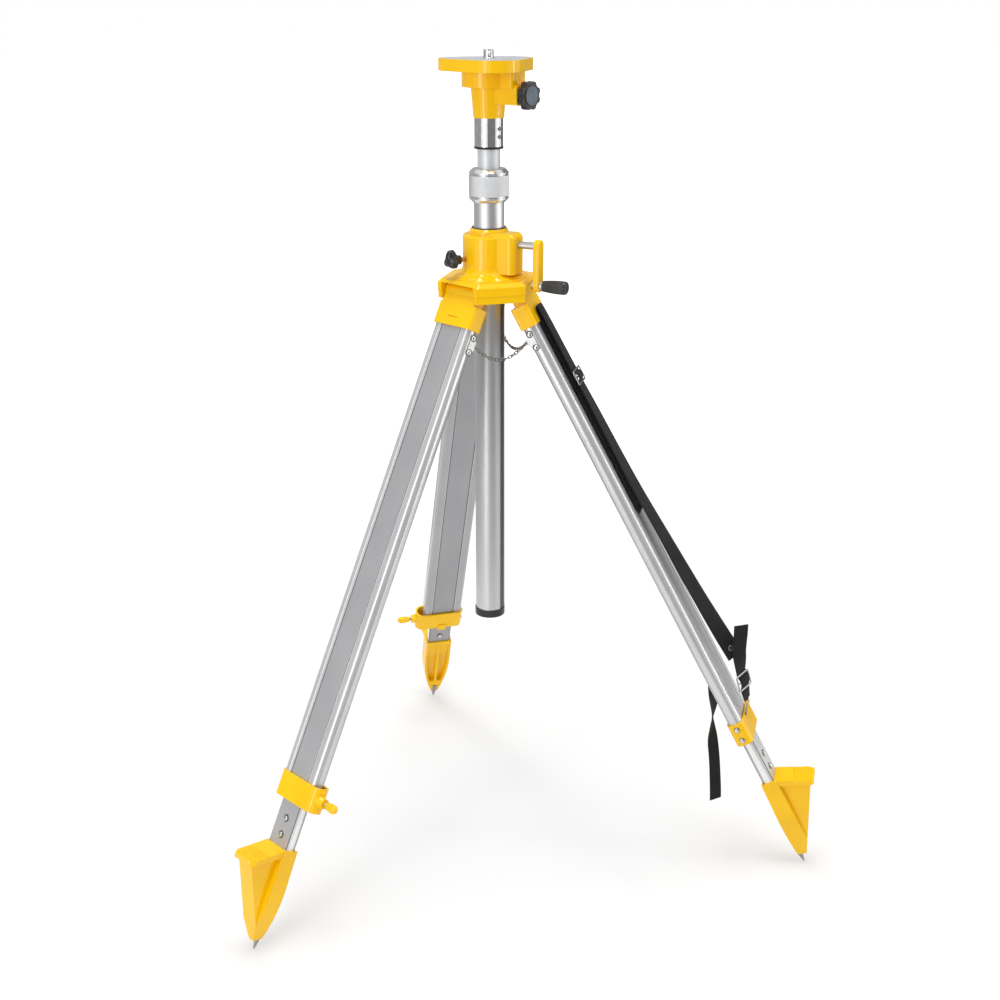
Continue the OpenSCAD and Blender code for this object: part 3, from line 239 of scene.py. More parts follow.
class Finish(Nodes):
    """A node material on one Principled shader, with short calls for the patterns that feed it."""

    def __init__(self, name, roughness, metallic=0.0, coat=0.0, coat_roughness=0.05, specular=0.5):
        self.material = bpy.data.materials.new(name)
        self.material.use_nodes = True
        super().__init__(self.material.node_tree)
        self.shader = self.tree.nodes["Principled BSDF"]
        self.set(self.shader, {"Roughness": roughness, "Metallic": metallic, "Coat Weight": coat,
                               "Coat Roughness": coat_roughness, "Specular IOR Level": specular})

    def coords(self, stretch=(1, 1, 1), place=None):
        """Object coordinates, turned into a local frame where one is given, and stretched."""
        vector = self.new("TexCoord").outputs["Object"]
        if place is not None:
            turned = Matrix(place.axes.tolist()).to_euler()
            local = {"Vector": vector, "Location": tuple(place.origin * MM), "Rotation": turned}
            vector = self.new("Mapping", local, vector_type="TEXTURE").outputs["Vector"]
        if stretch != (1, 1, 1):
            vector = self.new("Mapping", {"Vector": vector, "Scale": stretch}).outputs["Vector"]
        return vector

    def noise(self, vector, per_metre, detail=3.0):
        """Cloud noise with this many features to the metre."""
        node = self.new("TexNoise", {"Vector": vector, "Scale": per_metre, "Detail": detail})
        return node.outputs["Fac"]

    def spread(self, value, low, high, start=0.3, end=0.7):
        """A value from start to end, moved to low to high."""
        node = self.new("MapRange", {"Value": value, "From Min": start, "From Max": end, "To Min": low,
                                     "To Max": high})
        return node.outputs["Result"]

    def from_axis(self, vector):
        """Distance of a point from the part's upright axis."""
        xyz = self.new("SeparateXYZ", {"Vector": vector}).outputs
        squares = [self.math("POWER", xyz[axis], 2.0) for axis in "XY"]
        return self.math("SQRT", self.math("ADD", *squares))

    def mix(self, factor, a, b):
        node = self.new("Mix", data_type="RGBA")
        for index, value in ((0, factor), (6, a), (7, b)):
            if hasattr(value, "is_output"):
                self.tree.links.new(value, node.inputs[index])
            else:
                node.inputs[index].default_value = value if index == 0 else (*value, 1)
        return node.outputs[2]

    def rounded(self, radius):
        """Normal of the surface with its edges rounded, and a mask that is 1 along those edges."""
        soft = self.new("Bevel", {"Radius": radius}, samples=6).outputs["Normal"]
        plain = self.new("NewGeometry").outputs["Normal"]
        dot = self.new("VectorMath", {0: soft, 1: plain}, operation="DOT_PRODUCT").outputs["Value"]
        return soft, self.spread(dot, 1.0, 0.0, 0.86, 0.985)

    def bump(self, height, distance, normal=None, strength=1.0):
        node = self.new("Bump", {"Height": height, "Distance": distance, "Strength": strength})
        if normal is not None:
            self.tree.links.new(normal, node.inputs["Normal"])
        return node.outputs["Normal"]

    def done(self, **values):
        self.set(self.shader, {key.replace("_", " "): value for key, value in values.items()})
        return self.material


def shade(colour, share):
    """A colour made darker or paler by a share."""
    return tuple(c * share for c in colour)


def yellow_paint():
    """Gloss enamel on cast metal: slow colour drift, orange peel, cast waviness and paler worn edges."""
    f = Finish("yellow_paint", 0.34, coat=0.75, coat_roughness=0.025, specular=0.02)
    colour = (0.95, 0.535, 0.001)
    vector = f.coords()
    drift = f.spread(f.noise(vector, 14.0, 2.0), 0, 1)
    speck = f.spread(f.noise(vector, 900.0, 1.0), 0, 1, 0.62, 0.75)
    normal, edge = f.rounded(0.0016)
    worn = f.math("MULTIPLY", edge, f.spread(f.noise(vector, 160.0), 0.0, 0.45, 0.42, 0.62))
    base = f.mix(drift, shade(colour, 0.96), (0.97, 0.565, 0.001))
    base = f.mix(f.math("MULTIPLY", speck, 0.12), base, shade(colour, 0.7))
    base = f.mix(worn, base, (0.98, 0.67, 0.03))
    peel = f.math("ADD", f.noise(vector, 420.0, 2.0), f.math("MULTIPLY", f.noise(vector, 60.0, 2.0), 2.0))
    return f.done(Base_Color=base, Roughness=f.spread(f.noise(vector, 55.0), 0.28, 0.4),
                  Normal=f.bump(peel, 0.00012, normal, 0.5))


def leg_metal(name, place, half_w, half_t):
    """Anodised extrusion: fine draw lines along the leg, satin rails with a painted highlight as a pale line
    along each inner edge, a flat grey panel between them, painted shade in the groove beside the panel,
    painted shade that darkens the face towards the column, and narrow sides whose normal leans with the
    distance from their middle, as on a drawn hollow."""
    f = Finish(name, 0.3, metallic=0.92)
    local = f.coords(place=place)
    lines = f.noise(f.new("Mapping", {"Vector": local, "Scale": (2600, 2600, 6)}).outputs["Vector"], 1.0, 2.0)
    cloud = f.noise(local, 9.0, 2.0)
    xyz = f.new("SeparateXYZ", {"Vector": local})
    x, y = xyz.outputs["X"], f.math("ABSOLUTE", xyz.outputs["Y"])
    inner, highlight_w, inner_skin = LEG_W / 2 - RAIL_W, 1.4, 4.5
    rail_edge = (inner - 0.1) * MM
    panel = f.math("LESS_THAN", y, rail_edge)
    # Painted highlight: a pale line along each rail's inner edge stands in for the light that the edge
    # catches.
    painted_highlight = f.math("MULTIPLY", f.math("GREATER_THAN", y, rail_edge),
                      f.math("LESS_THAN", y, (inner + highlight_w) * MM))
    # Painted shade: a near black strip in the groove beside the panel, where the recess lies in shade.
    groove = f.math("MULTIPLY", panel, f.math("GREATER_THAN", y, (inner - GROOVE_W) * MM))
    rail = f.mix(f.spread(cloud, 0, 1), (0.64, 0.645, 0.655), (0.70, 0.705, 0.71))
    flat = f.mix(f.spread(cloud, 0, 1), (0.58, 0.585, 0.60), (0.64, 0.645, 0.655))
    base = f.mix(panel, rail, flat)
    base = f.mix(painted_highlight, base, (0.92, 0.92, 0.92))
    base = f.mix(groove, base, (0.10, 0.10, 0.11))
    base = f.mix(f.spread(lines, 0.0, 0.16), base, (0.36, 0.36, 0.37))
    # Painted shade: the face towards the column, which lies in shade, is darkened in the colour.
    inner_shade = f.math("LESS_THAN", x, (inner_skin - LEG_INSET - half_t) * MM)
    base = f.mix(f.math("MULTIPLY", inner_shade, 0.5), base, (0.20, 0.20, 0.215))
    rough = f.math("ADD", f.spread(lines, 0.2, 0.34), f.math("MULTIPLY", panel, 0.2))
    normal, _ = f.rounded(0.0007)
    narrow = f.spread(y, 0.0, 0.8, (half_w - 1.5) * MM, (half_w - 0.1) * MM)
    sides = (-(LEG_INSET + half_t) * MM, (half_t - LEG_INSET) * MM)
    lean = f.math("MULTIPLY", narrow, f.spread(x, -1, 1, *sides))
    out = f.new("VectorTransform", {"Vector": tuple(place.axes[:, 0])}, vector_type="NORMAL",
                convert_from="OBJECT", convert_to="WORLD").outputs["Vector"]
    out = f.new("VectorMath", {0: out, "Scale": lean}, operation="SCALE").outputs["Vector"]
    normal = f.new("VectorMath", {0: normal, 1: out}, operation="ADD").outputs["Vector"]
    normal = f.new("VectorMath", {0: normal}, operation="NORMALIZE").outputs["Vector"]
    return f.done(Base_Color=base, Roughness=rough, Metallic=f.spread(panel, 0.55, 0.92, 0, 1),
                  Normal=f.bump(lines, 0.00002, normal, 0.35))


def tube_metal(name, colour, roughness, lines_deep=0.14, metallic=0.9):
    """Drawn tube: fine upright lines and a slow cloud in the tone."""
    f = Finish(name, roughness, metallic=metallic)
    vector = f.coords((2400, 2400, 5))
    lines = f.noise(vector, 1.0, 2.0)
    cloud = f.noise(f.coords((18, 18, 5)), 1.0, 2.0)
    base = f.mix(f.spread(cloud, 0, 1), shade(colour, 0.93), shade(colour, 1.04))
    base = f.mix(f.spread(lines, 0, lines_deep), base, shade(colour, 0.45))
    normal, _ = f.rounded(0.0006)
    return f.done(Base_Color=base, Roughness=f.spread(lines, roughness - 0.05, roughness + 0.07),
                  Normal=f.bump(lines, 0.00001, normal, 0.3))


def rack_metal():
    """Milled rack: tips in the steel's tone and roots painted near black as painted shade between the teeth,
    told apart by the distance from the column's axis.
    """
    f = Finish("rack_metal", 0.38, metallic=0.8)
    root, tip = 24.6 * MM, 25.9 * MM
    grain = f.noise(f.coords(), 500.0)
    # Painted shade: darkest at the tooth roots, in the steel's tone at the tips.
    out_of_root_shade = f.spread(f.from_axis(f.coords()), 0, 1, root, tip)
    base = f.mix(out_of_root_shade, (0.03, 0.03, 0.03), (0.40, 0.40, 0.41))
    return f.done(Base_Color=base, Roughness=f.spread(grain, 0.3, 0.5))


def collar_metal():
    """Turned collar: a dull knurled band between glossy grooves and cones, told apart by the height."""
    f = Finish("collar_metal", 0.4, metallic=0.85)
    plain_end = 10.3
    z = f.new("SeparateXYZ", {"Vector": f.coords()}).outputs["Z"]
    off = f.math("ABSOLUTE", f.math("SUBTRACT", z, (COLLAR_FOOT + COLLAR_H / 2) * MM))
    knurled = f.math("LESS_THAN", off, (COLLAR_H / 2 - plain_end) * MM)
    grain = f.noise(f.coords(), 700.0)
    base = f.mix(f.spread(grain, 0, 1), (0.64, 0.65, 0.665), (0.74, 0.75, 0.765))
    normal, _ = f.rounded(0.0004)
    return f.done(Base_Color=base, Roughness=f.spread(knurled, 0.2, 0.42, 0, 1), Normal=normal)


def machined(name, colour, roughness, metallic=1.0, scale=700.0):
    """Turned or pressed metal: grain in the tone and the gloss, with rounded edges that are a little
    paler."""
    f = Finish(name, roughness, metallic=metallic)
    vector = f.coords()
    grain = f.noise(vector, scale, 3.0)
    normal, edge = f.rounded(0.0006)
    base = f.mix(f.spread(grain, 0, 1), shade(colour, 0.9), shade(colour, 1.06))
    base = f.mix(f.math("MULTIPLY", edge, 0.4), base, tuple(min(1.0, c * 1.25 + 0.04) for c in colour))
    return f.done(Base_Color=base, Roughness=f.spread(grain, roughness * 0.85, roughness * 1.25),
                  Normal=f.bump(grain, 0.00003, normal, 0.4))


def moulded(name, colour, roughness, grain_per_metre=1500.0, depth=0.00004):
    """Moulded plastic or rubber: fine pebble grain, small drift of tone, and rubbed edges."""
    f = Finish(name, roughness)
    vector = f.coords()
    grain = f.new("TexVoronoi", {"Vector": vector, "Scale": grain_per_metre}).outputs["Distance"]
    normal, edge = f.rounded(0.0009)
    base = f.mix(f.spread(f.noise(vector, 70.0), 0, 1), shade(colour, 0.82), shade(colour, 1.2))
    base = f.mix(f.math("MULTIPLY", edge, 0.35), base, tuple(c * 1.6 + 0.02 for c in colour))
    gloss = f.spread(f.noise(vector, 130.0), roughness * 0.85, roughness * 1.2)
    return f.done(Base_Color=base, Roughness=gloss, Normal=f.bump(grain, depth, normal, 0.5))


def facing():
    """Grey machined facing of the head: close rings round the screw, in tone and gloss."""
    f = Finish("head_facing", 0.45, metallic=0.25)
    local = f.coords()
    pitch = 1.2 * MM
    rings = f.math("SINE", f.math("MULTIPLY", f.from_axis(local), TAU / pitch))
    cloud = f.noise(local, 60.0)
    base = f.mix(f.spread(cloud, 0, 1), (0.30, 0.31, 0.33), (0.37, 0.38, 0.40))
    normal, _ = f.rounded(0.0005)
    return f.done(Base_Color=f.mix(f.spread(rings, 0, 0.12, -1, 1), base, (0.18, 0.18, 0.19)),
                  Roughness=f.spread(cloud, 0.38, 0.52), Normal=f.bump(rings, 0.00002, normal, 0.4))


def webbing():
    """Woven polyester strap on its own length map: u across and v along in metres. Yarns run along it in
    narrow cords, the weft steps over every second one, and a fine fuzz lies on both."""
    f = Finish("webbing", 0.75, specular=0.12)
    f.set(f.shader, {"Sheen Weight": 0.06, "Sheen Roughness": 0.4})
    uv = f.new("TexCoord").outputs["UV"]
    xyz = f.new("SeparateXYZ", {"Vector": uv})
    across, along = xyz.outputs["X"], xyz.outputs["Y"]
    cord_pitch, weft_pitch = 2.1 * MM, 2.8 * MM
    cords = f.math("SINE", f.math("MULTIPLY", across, TAU / cord_pitch))
    shift = f.math("MULTIPLY", f.math("SIGN", cords), math.pi / 2)
    weft = f.math("SINE", f.math("ADD", f.math("MULTIPLY", along, TAU / weft_pitch), shift))
    height = f.math("ADD", f.math("ABSOLUTE", cords), f.math("MULTIPLY", weft, 0.55))
    fuzz = f.noise(uv, 1800.0, 2.0)
    height = f.math("ADD", height, f.math("MULTIPLY", fuzz, 0.5))
    drift = f.noise(uv, 22.0)
    base = f.mix(f.spread(height, 0, 1, 0.0, 1.8), (0.004, 0.004, 0.005), (0.022, 0.021, 0.024))
    base = f.mix(f.spread(drift, 0, 0.35), base, (0.034, 0.033, 0.036))
    return f.done(Base_Color=base, Roughness=f.spread(fuzz, 0.62, 0.8),
                  Normal=f.bump(height, 0.0003, strength=0.8))


PAINT = yellow_paint()
LEG_METAL = {n: leg_metal(f"leg_metal_{n}", leg_place(n), LEG_W / 2, LEG_T / 2) for n in LEGS}
LOWER_METAL = {n: leg_metal(f"lower_metal_{n}", leg_place(n), LOWER_W / 2, LOWER_T / 2) for n in LEGS}
COLUMN_METAL = tube_metal("column_metal", (0.67, 0.675, 0.685), 0.4, 0.05)
INNER_METAL = tube_metal("inner_metal", (0.70, 0.71, 0.73), 0.48, 0.04, 0.4)
SLEEVE_CHROME = machined("sleeve_chrome", (0.66, 0.66, 0.675), 0.09, scale=90.0)
COLLAR_METAL = collar_metal()
STEEL = machined("bright_steel", (0.66, 0.65, 0.64), 0.2)
SPIKE_STEEL = machined("spike_steel", (0.36, 0.35, 0.34), 0.34)
CHAIN_STEEL = machined("chain_steel", (0.30, 0.285, 0.27), 0.28)
BUCKLE_STEEL = machined("buckle_steel", (0.40, 0.395, 0.39), 0.36)
SATIN_STEEL = machined("satin_steel", (0.46, 0.455, 0.45), 0.32)
# Dark steel is used for the sleeve's set screws and for the painted shade discs under rivet and bolt heads.
DARK_STEEL = machined("dark_steel", (0.16, 0.15, 0.14), 0.4)
RACK_METAL = rack_metal()
PALE_BUSH = moulded("pale_bush", (0.62, 0.61, 0.58), 0.45)
STUD_STEEL = machined("stud_steel", (0.42, 0.33, 0.26), 0.3)
BRASS = machined("stud_brass", (0.60, 0.30, 0.12), 0.25)
BLACK = moulded("black_plastic", (0.016, 0.016, 0.018), 0.32)
RUBBER = moulded("black_rubber", (0.012, 0.012, 0.012), 0.6)
DISC = moulded("knob_disc_grey", (0.085, 0.115, 0.15), 0.34)
FACING = facing()
WEBBING = webbing()

FINISH_OF = {
    "hub_casting": PAINT, "hub_plate": PAINT, "head_casting": PAINT, "crank_arm": PAINT,
    "column_tube": COLUMN_METAL, "column_rack": RACK_METAL, "column_cap": BLACK, "column_collet": STEEL,
    "column_bushes": PALE_BUSH, "inner_tube": INNER_METAL, "inner_guide": BLACK,
    "head_sleeve": SLEEVE_CHROME,
    "sleeve_ring": RUBBER, "sleeve_screws": DARK_STEEL, "head_pad": FACING, "head_screw": STEEL,
    "head_knob": BLACK, "knob_disc": DISC, "knob_shaft": STEEL, "crank_shaft": SATIN_STEEL,
    "grip_bolt": SATIN_STEEL, "crank_grip": BLACK, "pinion_shaft": STEEL, "lock_knob": BLACK,
    "lock_stud": BRASS, "hub_screws": STEEL, "hinge_pins": STEEL, "collar_nut": COLLAR_METAL,
    "spreader_chain": CHAIN_STEEL, "strap_webbing": WEBBING, "strap_tail": WEBBING, "strap_buckles": STEEL,
}
LEG_FINISH = {"bracket": PAINT, "clamp": PAINT, "wing": PAINT, "foot": PAINT, "fittings": SATIN_STEEL,
              "bolts": STEEL, "spike": SPIKE_STEEL}
for n in LEGS:
    FINISH_OF.update({f"leg_{n}_{part}": finish for part, finish in LEG_FINISH.items()})
    FINISH_OF.update({f"leg_{n}_upper": LEG_METAL[n], f"leg_{n}_lower": LOWER_METAL[n]})
for name, node in NODES.items():
    node.data.materials.clear()
    node.data.materials.append(FINISH_OF[name])


# Clamp collar on the column

def clamp_collar():
    """Turned collar with a diamond knurl between its two grooves: two families of slanted furrows,
    each a triangle wave of the angle plus or minus the height, and the lower of the two counts."""
    h, r, groove_r, column_r, tube_r, step = COLLAR_H, 32.5, 30.7, 25.06, 19.1, 46.0
    teeth, furrow_pitch, furrow_depth, run_out = 64, 3.2, 0.95, 0.9
    low, high = 10.1, h - 10.1
    outer = [(column_r, 0), (27.2, 0), (27.5, 0.3), (r - 0.3, 5.2), (r, 5.6), (r, 7.6), (r - 0.2, 7.8),
             (groove_r, 8.4), (groove_r, 9.5), (r - 0.3, 10.0)]
    band = [(r, z) for z in np.linspace(low + 0.1, high - 0.1, 96)]
    upper = [(a, h - z) for a, z in outer[:0:-1]]
    bore = [(tube_r + 0.1, h), (tube_r, h - 0.2), (tube_r, step + 0.2), (tube_r + 0.2, step),
            (column_r - 0.06, step), (column_r, step - 0.2)]

    def knurl(angle, z):
        turned, risen = angle * teeth / TAU, z / furrow_pitch
        a, b = (np.abs(np.mod(turned + way * risen, 1) - 0.5) * 2 for way in (1, -1))
        fade = np.clip(np.minimum(z - low, high - z) / run_out, 0, 1)
        return (np.minimum(a, b) - 0.45) * furrow_depth * fade

    part = lathe(outer + band + upper + bore, WORLD.then(origin=(0, 0, COLLAR_FOOT)), 576, True, knurl)
    obj = piece("clamp_collar", [part], COLLAR_METAL, "collar", 50.0)
    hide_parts("collar_nut")


# Wiper on top of the hub

def column_wiper():
    """Thin rubber ring round the column, clear of the rack's path."""
    bore, rim, rise = 27.2, 28.8, 1.2
    section = [(bore, -0.2), (rim - 0.2, -0.2), (rim, 0.3), (rim - 0.3, rise - 0.1), (bore + 0.3, rise),
               (bore, rise - 0.4)]
    ring = lathe(section, WORLD.then(origin=(0, 0, HINGE_Z + HUB_TOP)), 72, True)
    piece("column_wiper", [ring], RUBBER, "hub", 50.0)


# Thread of the instrument screw

def screw_thread():
    """Ridge of a screw thread over the stud: the radius follows a rounded triangle wave of the height
    minus the turn, fading out at both ends."""
    r, pitch, depth, foot, top, run_out = 7.94, 1.9, 0.8, 1395.2, 1402.6, 0.9
    seat, collar_r = 1389.6, 8.9

    def ridge(angle, z):
        wave = np.abs(np.mod(z / pitch - angle / TAU, 1) - 0.5) * 2
        fade = np.clip(np.minimum(z - foot, top - z) / run_out, 0, 1)
        return (wave - 0.45) * depth * fade

    stem = [(r - 0.5, foot - 0.3)] + [(r, z) for z in np.linspace(foot, top, 46)]
    crown = [(r - 0.9, top + 0.3), (6.9, top + 0.35), (5.2, top + 0.4)]
    thread = lathe(stem + crown, WORLD, 72, swell=ridge)
    piece("screw_thread", [thread], STEEL, "instrument_screw", 60.0)
    base = [(8.2, 0), (collar_r, 0.2), (collar_r, 1.3), (8.3, 1.7), (8.05, 5.0)]
    piece("screw_foot", [lathe(base, WORLD.then(origin=(0, 0, seat)), 48)], STEEL, "instrument_screw")


# Crank grip

def fluted_grip():
    """Turning grip: a barrel profile whose radius dips in sixteen flutes, deepest along its middle."""
    foot_r, swell, rim, barrel, corner, flute, flute_count = 9.1, 2.0, 1.4, 36.4, 4.2, 0.75, 16
    place = axis_place(CRANK_AZIMUTH, CRANK_SIDE, CRANK_RISE - CRANK_THROW).then(origin=(0, 0, GRIP_OUT))
    t = np.linspace(0, 1, 40)
    r = foot_r + swell * np.sin(t * math.pi * 0.62)
    profile = [(4.2, 0.02), (8.1, 0.0), (8.9, 0.5)] + list(zip(r, rim + t * barrel))
    a = np.linspace(0.1, 1, 8) * math.pi / 2
    end = rim + barrel
    profile += [(r[-1] - corner + corner * math.cos(x), end + corner * math.sin(x)) for x in a]
    profile += [(2.0, end + corner)]

    def flutes(angle, z):
        depth = np.clip(np.minimum(z - 2.5, end + 0.7 - z) / 4.0, 0, 1)
        return -flute * depth * np.abs(np.cos(flute_count / 2 * angle)) ** 3

    grip = lathe(profile, place, 192, swell=flutes)
    obj = piece("fluted_grip", [grip], BLACK, "grip", 60.0)
    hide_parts("crank_grip")


# Crank arm

def cast_crank_arm():
    """Cast slab with two round ends: a stadium outline, drawn in by a quarter circle towards both faces."""
    width, thick, edge = 21.8, 11.0, 2.6
    place = axis_place(CRANK_AZIMUTH, CRANK_SIDE, CRANK_RISE).then(origin=(0, 0, ARM_OUT))
    a = np.linspace(0, math.pi / 2, 8)
    drawn = np.concatenate([edge * (1 - np.sin(a)), edge * (1 - np.cos(a))])
    rise = np.concatenate([edge * (1 - np.cos(a)), thick - edge + edge * np.sin(a)])
    t = np.concatenate([np.linspace(-0.5, 0.5, 24), np.linspace(0.5, 1.5, 24)]) * math.pi
    r = width / 2 - drawn[:, None]
    rings = np.stack([r * np.cos(t) + np.repeat([CRANK_THROW, 0.0], 24), r * np.sin(t),
                      np.broadcast_to(rise[:, None], (16, 48))], axis=-1)
    obj = piece("cast_crank_arm", [skin(place(rings))], PAINT, "crank", 50.0)
    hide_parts("crank_arm")


# Lock knob

def lobed_lock_knob():
    """Three-lobed knob: the radius swings three times a turn, more where the profile is full, and the
    profile rises from the neck and rounds over at the crown."""
    h, neck_end, round_from, neck_r, lobe_r, lobe = 25.6, 4.0, 18.2, 7.6, 6.0, 3.7
    place = axis_place(LOCK_AZIMUTH, 0.0, LOCK_RISE).then(origin=(0, 0, LOCK_OUT))
    t = np.linspace(0, 1, 44)
    z = h * (0.5 - 0.5 * np.cos(t * math.pi))
    full = np.clip((z - neck_end) / 9.0, 0, 1)
    full = full * full * (3 - 2 * full)
    over = np.sqrt(np.clip(1 - np.clip((z - round_from) / (h - round_from), 0, 1) ** 2, 0, 1))
    over = 0.16 + 0.84 * over
    r = (neck_r + lobe_r * full) * over
    swing = lobe * full * over

    def lobes(angle, height):
        a = np.cos(3 * (angle - math.pi))
        return np.interp(height, z, swing) * (a - 0.18 * (1 - a * a))

    knob = lathe(np.column_stack([r, z]), place, 144, swell=lobes)
    obj = piece("lobed_lock_knob", [knob], BLACK, "lock", 60.0)
    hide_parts("lock_knob")


# Spreader chains

ANCHOR_AT, EYE_X, EYE_R, WIRE, LINK_W, LINK_PITCH, LINK_PLAY = 82.0, 23.85, 3.0, 1.7, 2.8, 6.0, 0.25
# First leg, share of its width, second leg, share of its width, sag
CHAIN_ENDS = [(1, 0.45, 2, -0.45, 24.0), (2, -0.32, 3, -0.45, 22.0), (3, 0.45, 1, -0.45, 22.0)]


def chain_link(inside, place):
    """A round wire carried round a stadium: two half circles joined by straights."""
    mid = (LINK_W + WIRE) / 2
    half = (inside - LINK_W) / 2
    a = np.concatenate([np.linspace(-0.5, 0.5, 9), np.linspace(0.5, 1.5, 9)]) * math.pi
    out = np.stack([np.cos(a), np.sin(a), 0 * a], axis=1)
    path = mid * out + np.stack([np.repeat([half, -half], 9), 0 * a, 0 * a], axis=1)
    t = np.arange(8) * TAU / 8
    up = np.array([0, 0, 1.0])
    section = np.cos(t)[None, :, None] * out[:, None] + np.sin(t)[None, :, None] * up
    return skin(place(path[:, None] + WIRE / 2 * section), True)


def unit(v):
    """A direction of length 1."""
    return v / np.linalg.norm(v)


def spreader_chains():
    """Chains that hang in a parabola between two legs' eyes, each link turned a quarter to the next."""
    seat = WIRE / 2 + 0.5
    half = 1000
    still = 2 * half // 5
    halves = []
    for k, (m, share_m, n, share_n, sag) in enumerate(CHAIN_ENDS):
        spot_m = leg_place(m)([-EYE_X - EYE_R, share_m * LEG_W, -ANCHOR_AT]) / MM
        spot_n = leg_place(n)([-EYE_X - EYE_R, share_n * LEG_W, -ANCHOR_AT]) / MM
        drop = np.array([0, 0, 4 * sag])
        start = spot_m - seat * unit(spot_n - spot_m - drop)
        end = spot_n + seat * unit(spot_n - spot_m + drop)
        t = np.linspace(0, 1, 2 * half + 1)
        curve = start + t[:, None] * (end - start) - np.outer(t * (1 - t), drop)
        run = np.concatenate([[0], np.cumsum(np.linalg.norm(np.diff(curve, axis=0), axis=1))])
        count = 2 * int(run[-1] / LINK_PITCH / 2) + 1
        gap = run[-1] / count
        centres = (np.arange(count) + 0.5) * gap
        spots = np.stack([np.interp(centres, run, curve[:, i]) for i in range(3)], axis=1)
        ways = np.stack([np.gradient(curve[:, i], run) for i in range(3)], axis=1)
        ways = np.stack([np.interp(centres, run, ways[:, i]) for i in range(3)], axis=1)
        links = []
        for i, (spot, way) in enumerate(zip(spots, ways)):
            x = unit(way)
            side = unit(np.cross([0, 0, 1], x))
            up = np.cross(x, side)
            tilt = math.radians(90 * (i % 2) + 16 * math.sin(2.3 * i + k) * min(1, i, count - 1 - i))
            y = math.cos(tilt) * side + math.sin(tilt) * up
            place = Place(np.stack([x, y, np.cross(x, y)], axis=1), spot)
            links.append(chain_link(gap + LINK_PLAY, place))
        middle = count // 2 + 1
        for leg, some, anchor, way in ((m, links[:middle], spot_m, -1), (n, links[middle:], spot_n, 1)):
            obj = piece(f"chain_{k + 1}_leg_{leg}", some, CHAIN_STEEL, None, 60.0)
            start = curve[half + way * still]
            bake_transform(obj)
            halves.append(obj)
    for obj in halves:
        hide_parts("spreader_chain")


# Rivet and bolt heads

CLAMP_RIVET_GAP, CLAMP_RIVET_H = 11.0, 2.0
PLATE_RIVET_X, PLATE_FACE, PLATE_RIVET_GAP = -9.6, 41.5, 12.0
BOLT_RISE, BOLT_H = (200.0, 228.0), 2.5


def shade_disc(place, r, h=0.45):
    """A thin disc with a broken edge."""
    return lathe([(r - 0.3, -0.3), (r, 0.05), (r, h - 0.15), (r - 0.2, h), (1.0, h)], place, 28)


def fastener_heads():
    """Low domes on the rivets and bolts, each on a thin dark disc that paints the shade round its head."""
    for n in LEGS:
        leg = leg_place(n)
        middle = leg.then(origin=(-LEG_INSET, 0, 0))
        clamp = [middle.then(aim((0, -1, 0)), (0, -CLAMP_W / 2, -CLAMP_AT + s * CLAMP_RIVET_GAP))
                 for s in (-1, 1)]
        plate = [leg.then(aim((0, side, 0)),
                          (PLATE_RIVET_X, side * PLATE_FACE, -ANCHOR_AT + s * PLATE_RIVET_GAP))
                 for side in (-1, 1) for s in (-1, 1)]
        heads = [dome(spot.then(origin=(0, 0, CLAMP_RIVET_H)), 4.1, 1.4) for spot in clamp]
        heads += [dome(spot, 4.8, 3.5) for spot in plate]
        # Painted shade: dark discs under the rivet heads stand in for the shade round each head.
        shade_rings = [shade_disc(spot, 5.2) for spot in clamp] + [shade_disc(spot, 5.9) for spot in plate]
        piece(f"leg_{n}_rivet_heads", heads, STEEL, f"leg_{n}", 50.0)
        piece(f"leg_{n}_rivet_shade_rings", shade_rings, DARK_STEEL, f"leg_{n}", 50.0)
        foot = leg.then(origin=(-TIP_OFF + SPIKE_OFF, 0, -leg_length(n)))
        bolts = [foot.then(aim((side, 0, 0)), (side * LOWER_T / 2, 0, z))
                 for z in BOLT_RISE for side in (-1, 1)]
        heads = [dome(spot.then(origin=(0, 0, BOLT_H)), 4.1, 0.9) for spot in bolts]
        # Painted shade: dark discs under the bolt heads stand in for the shade round each head.
        shade_rings = [shade_disc(spot, 6.4) for spot in bolts]
        piece(f"leg_{n}_bolt_heads", heads, STEEL, f"foot_{n}", 50.0)
        piece(f"leg_{n}_bolt_shade_rings", shade_rings, DARK_STEEL, f"foot_{n}", 50.0)


# Wing screws of the clamps

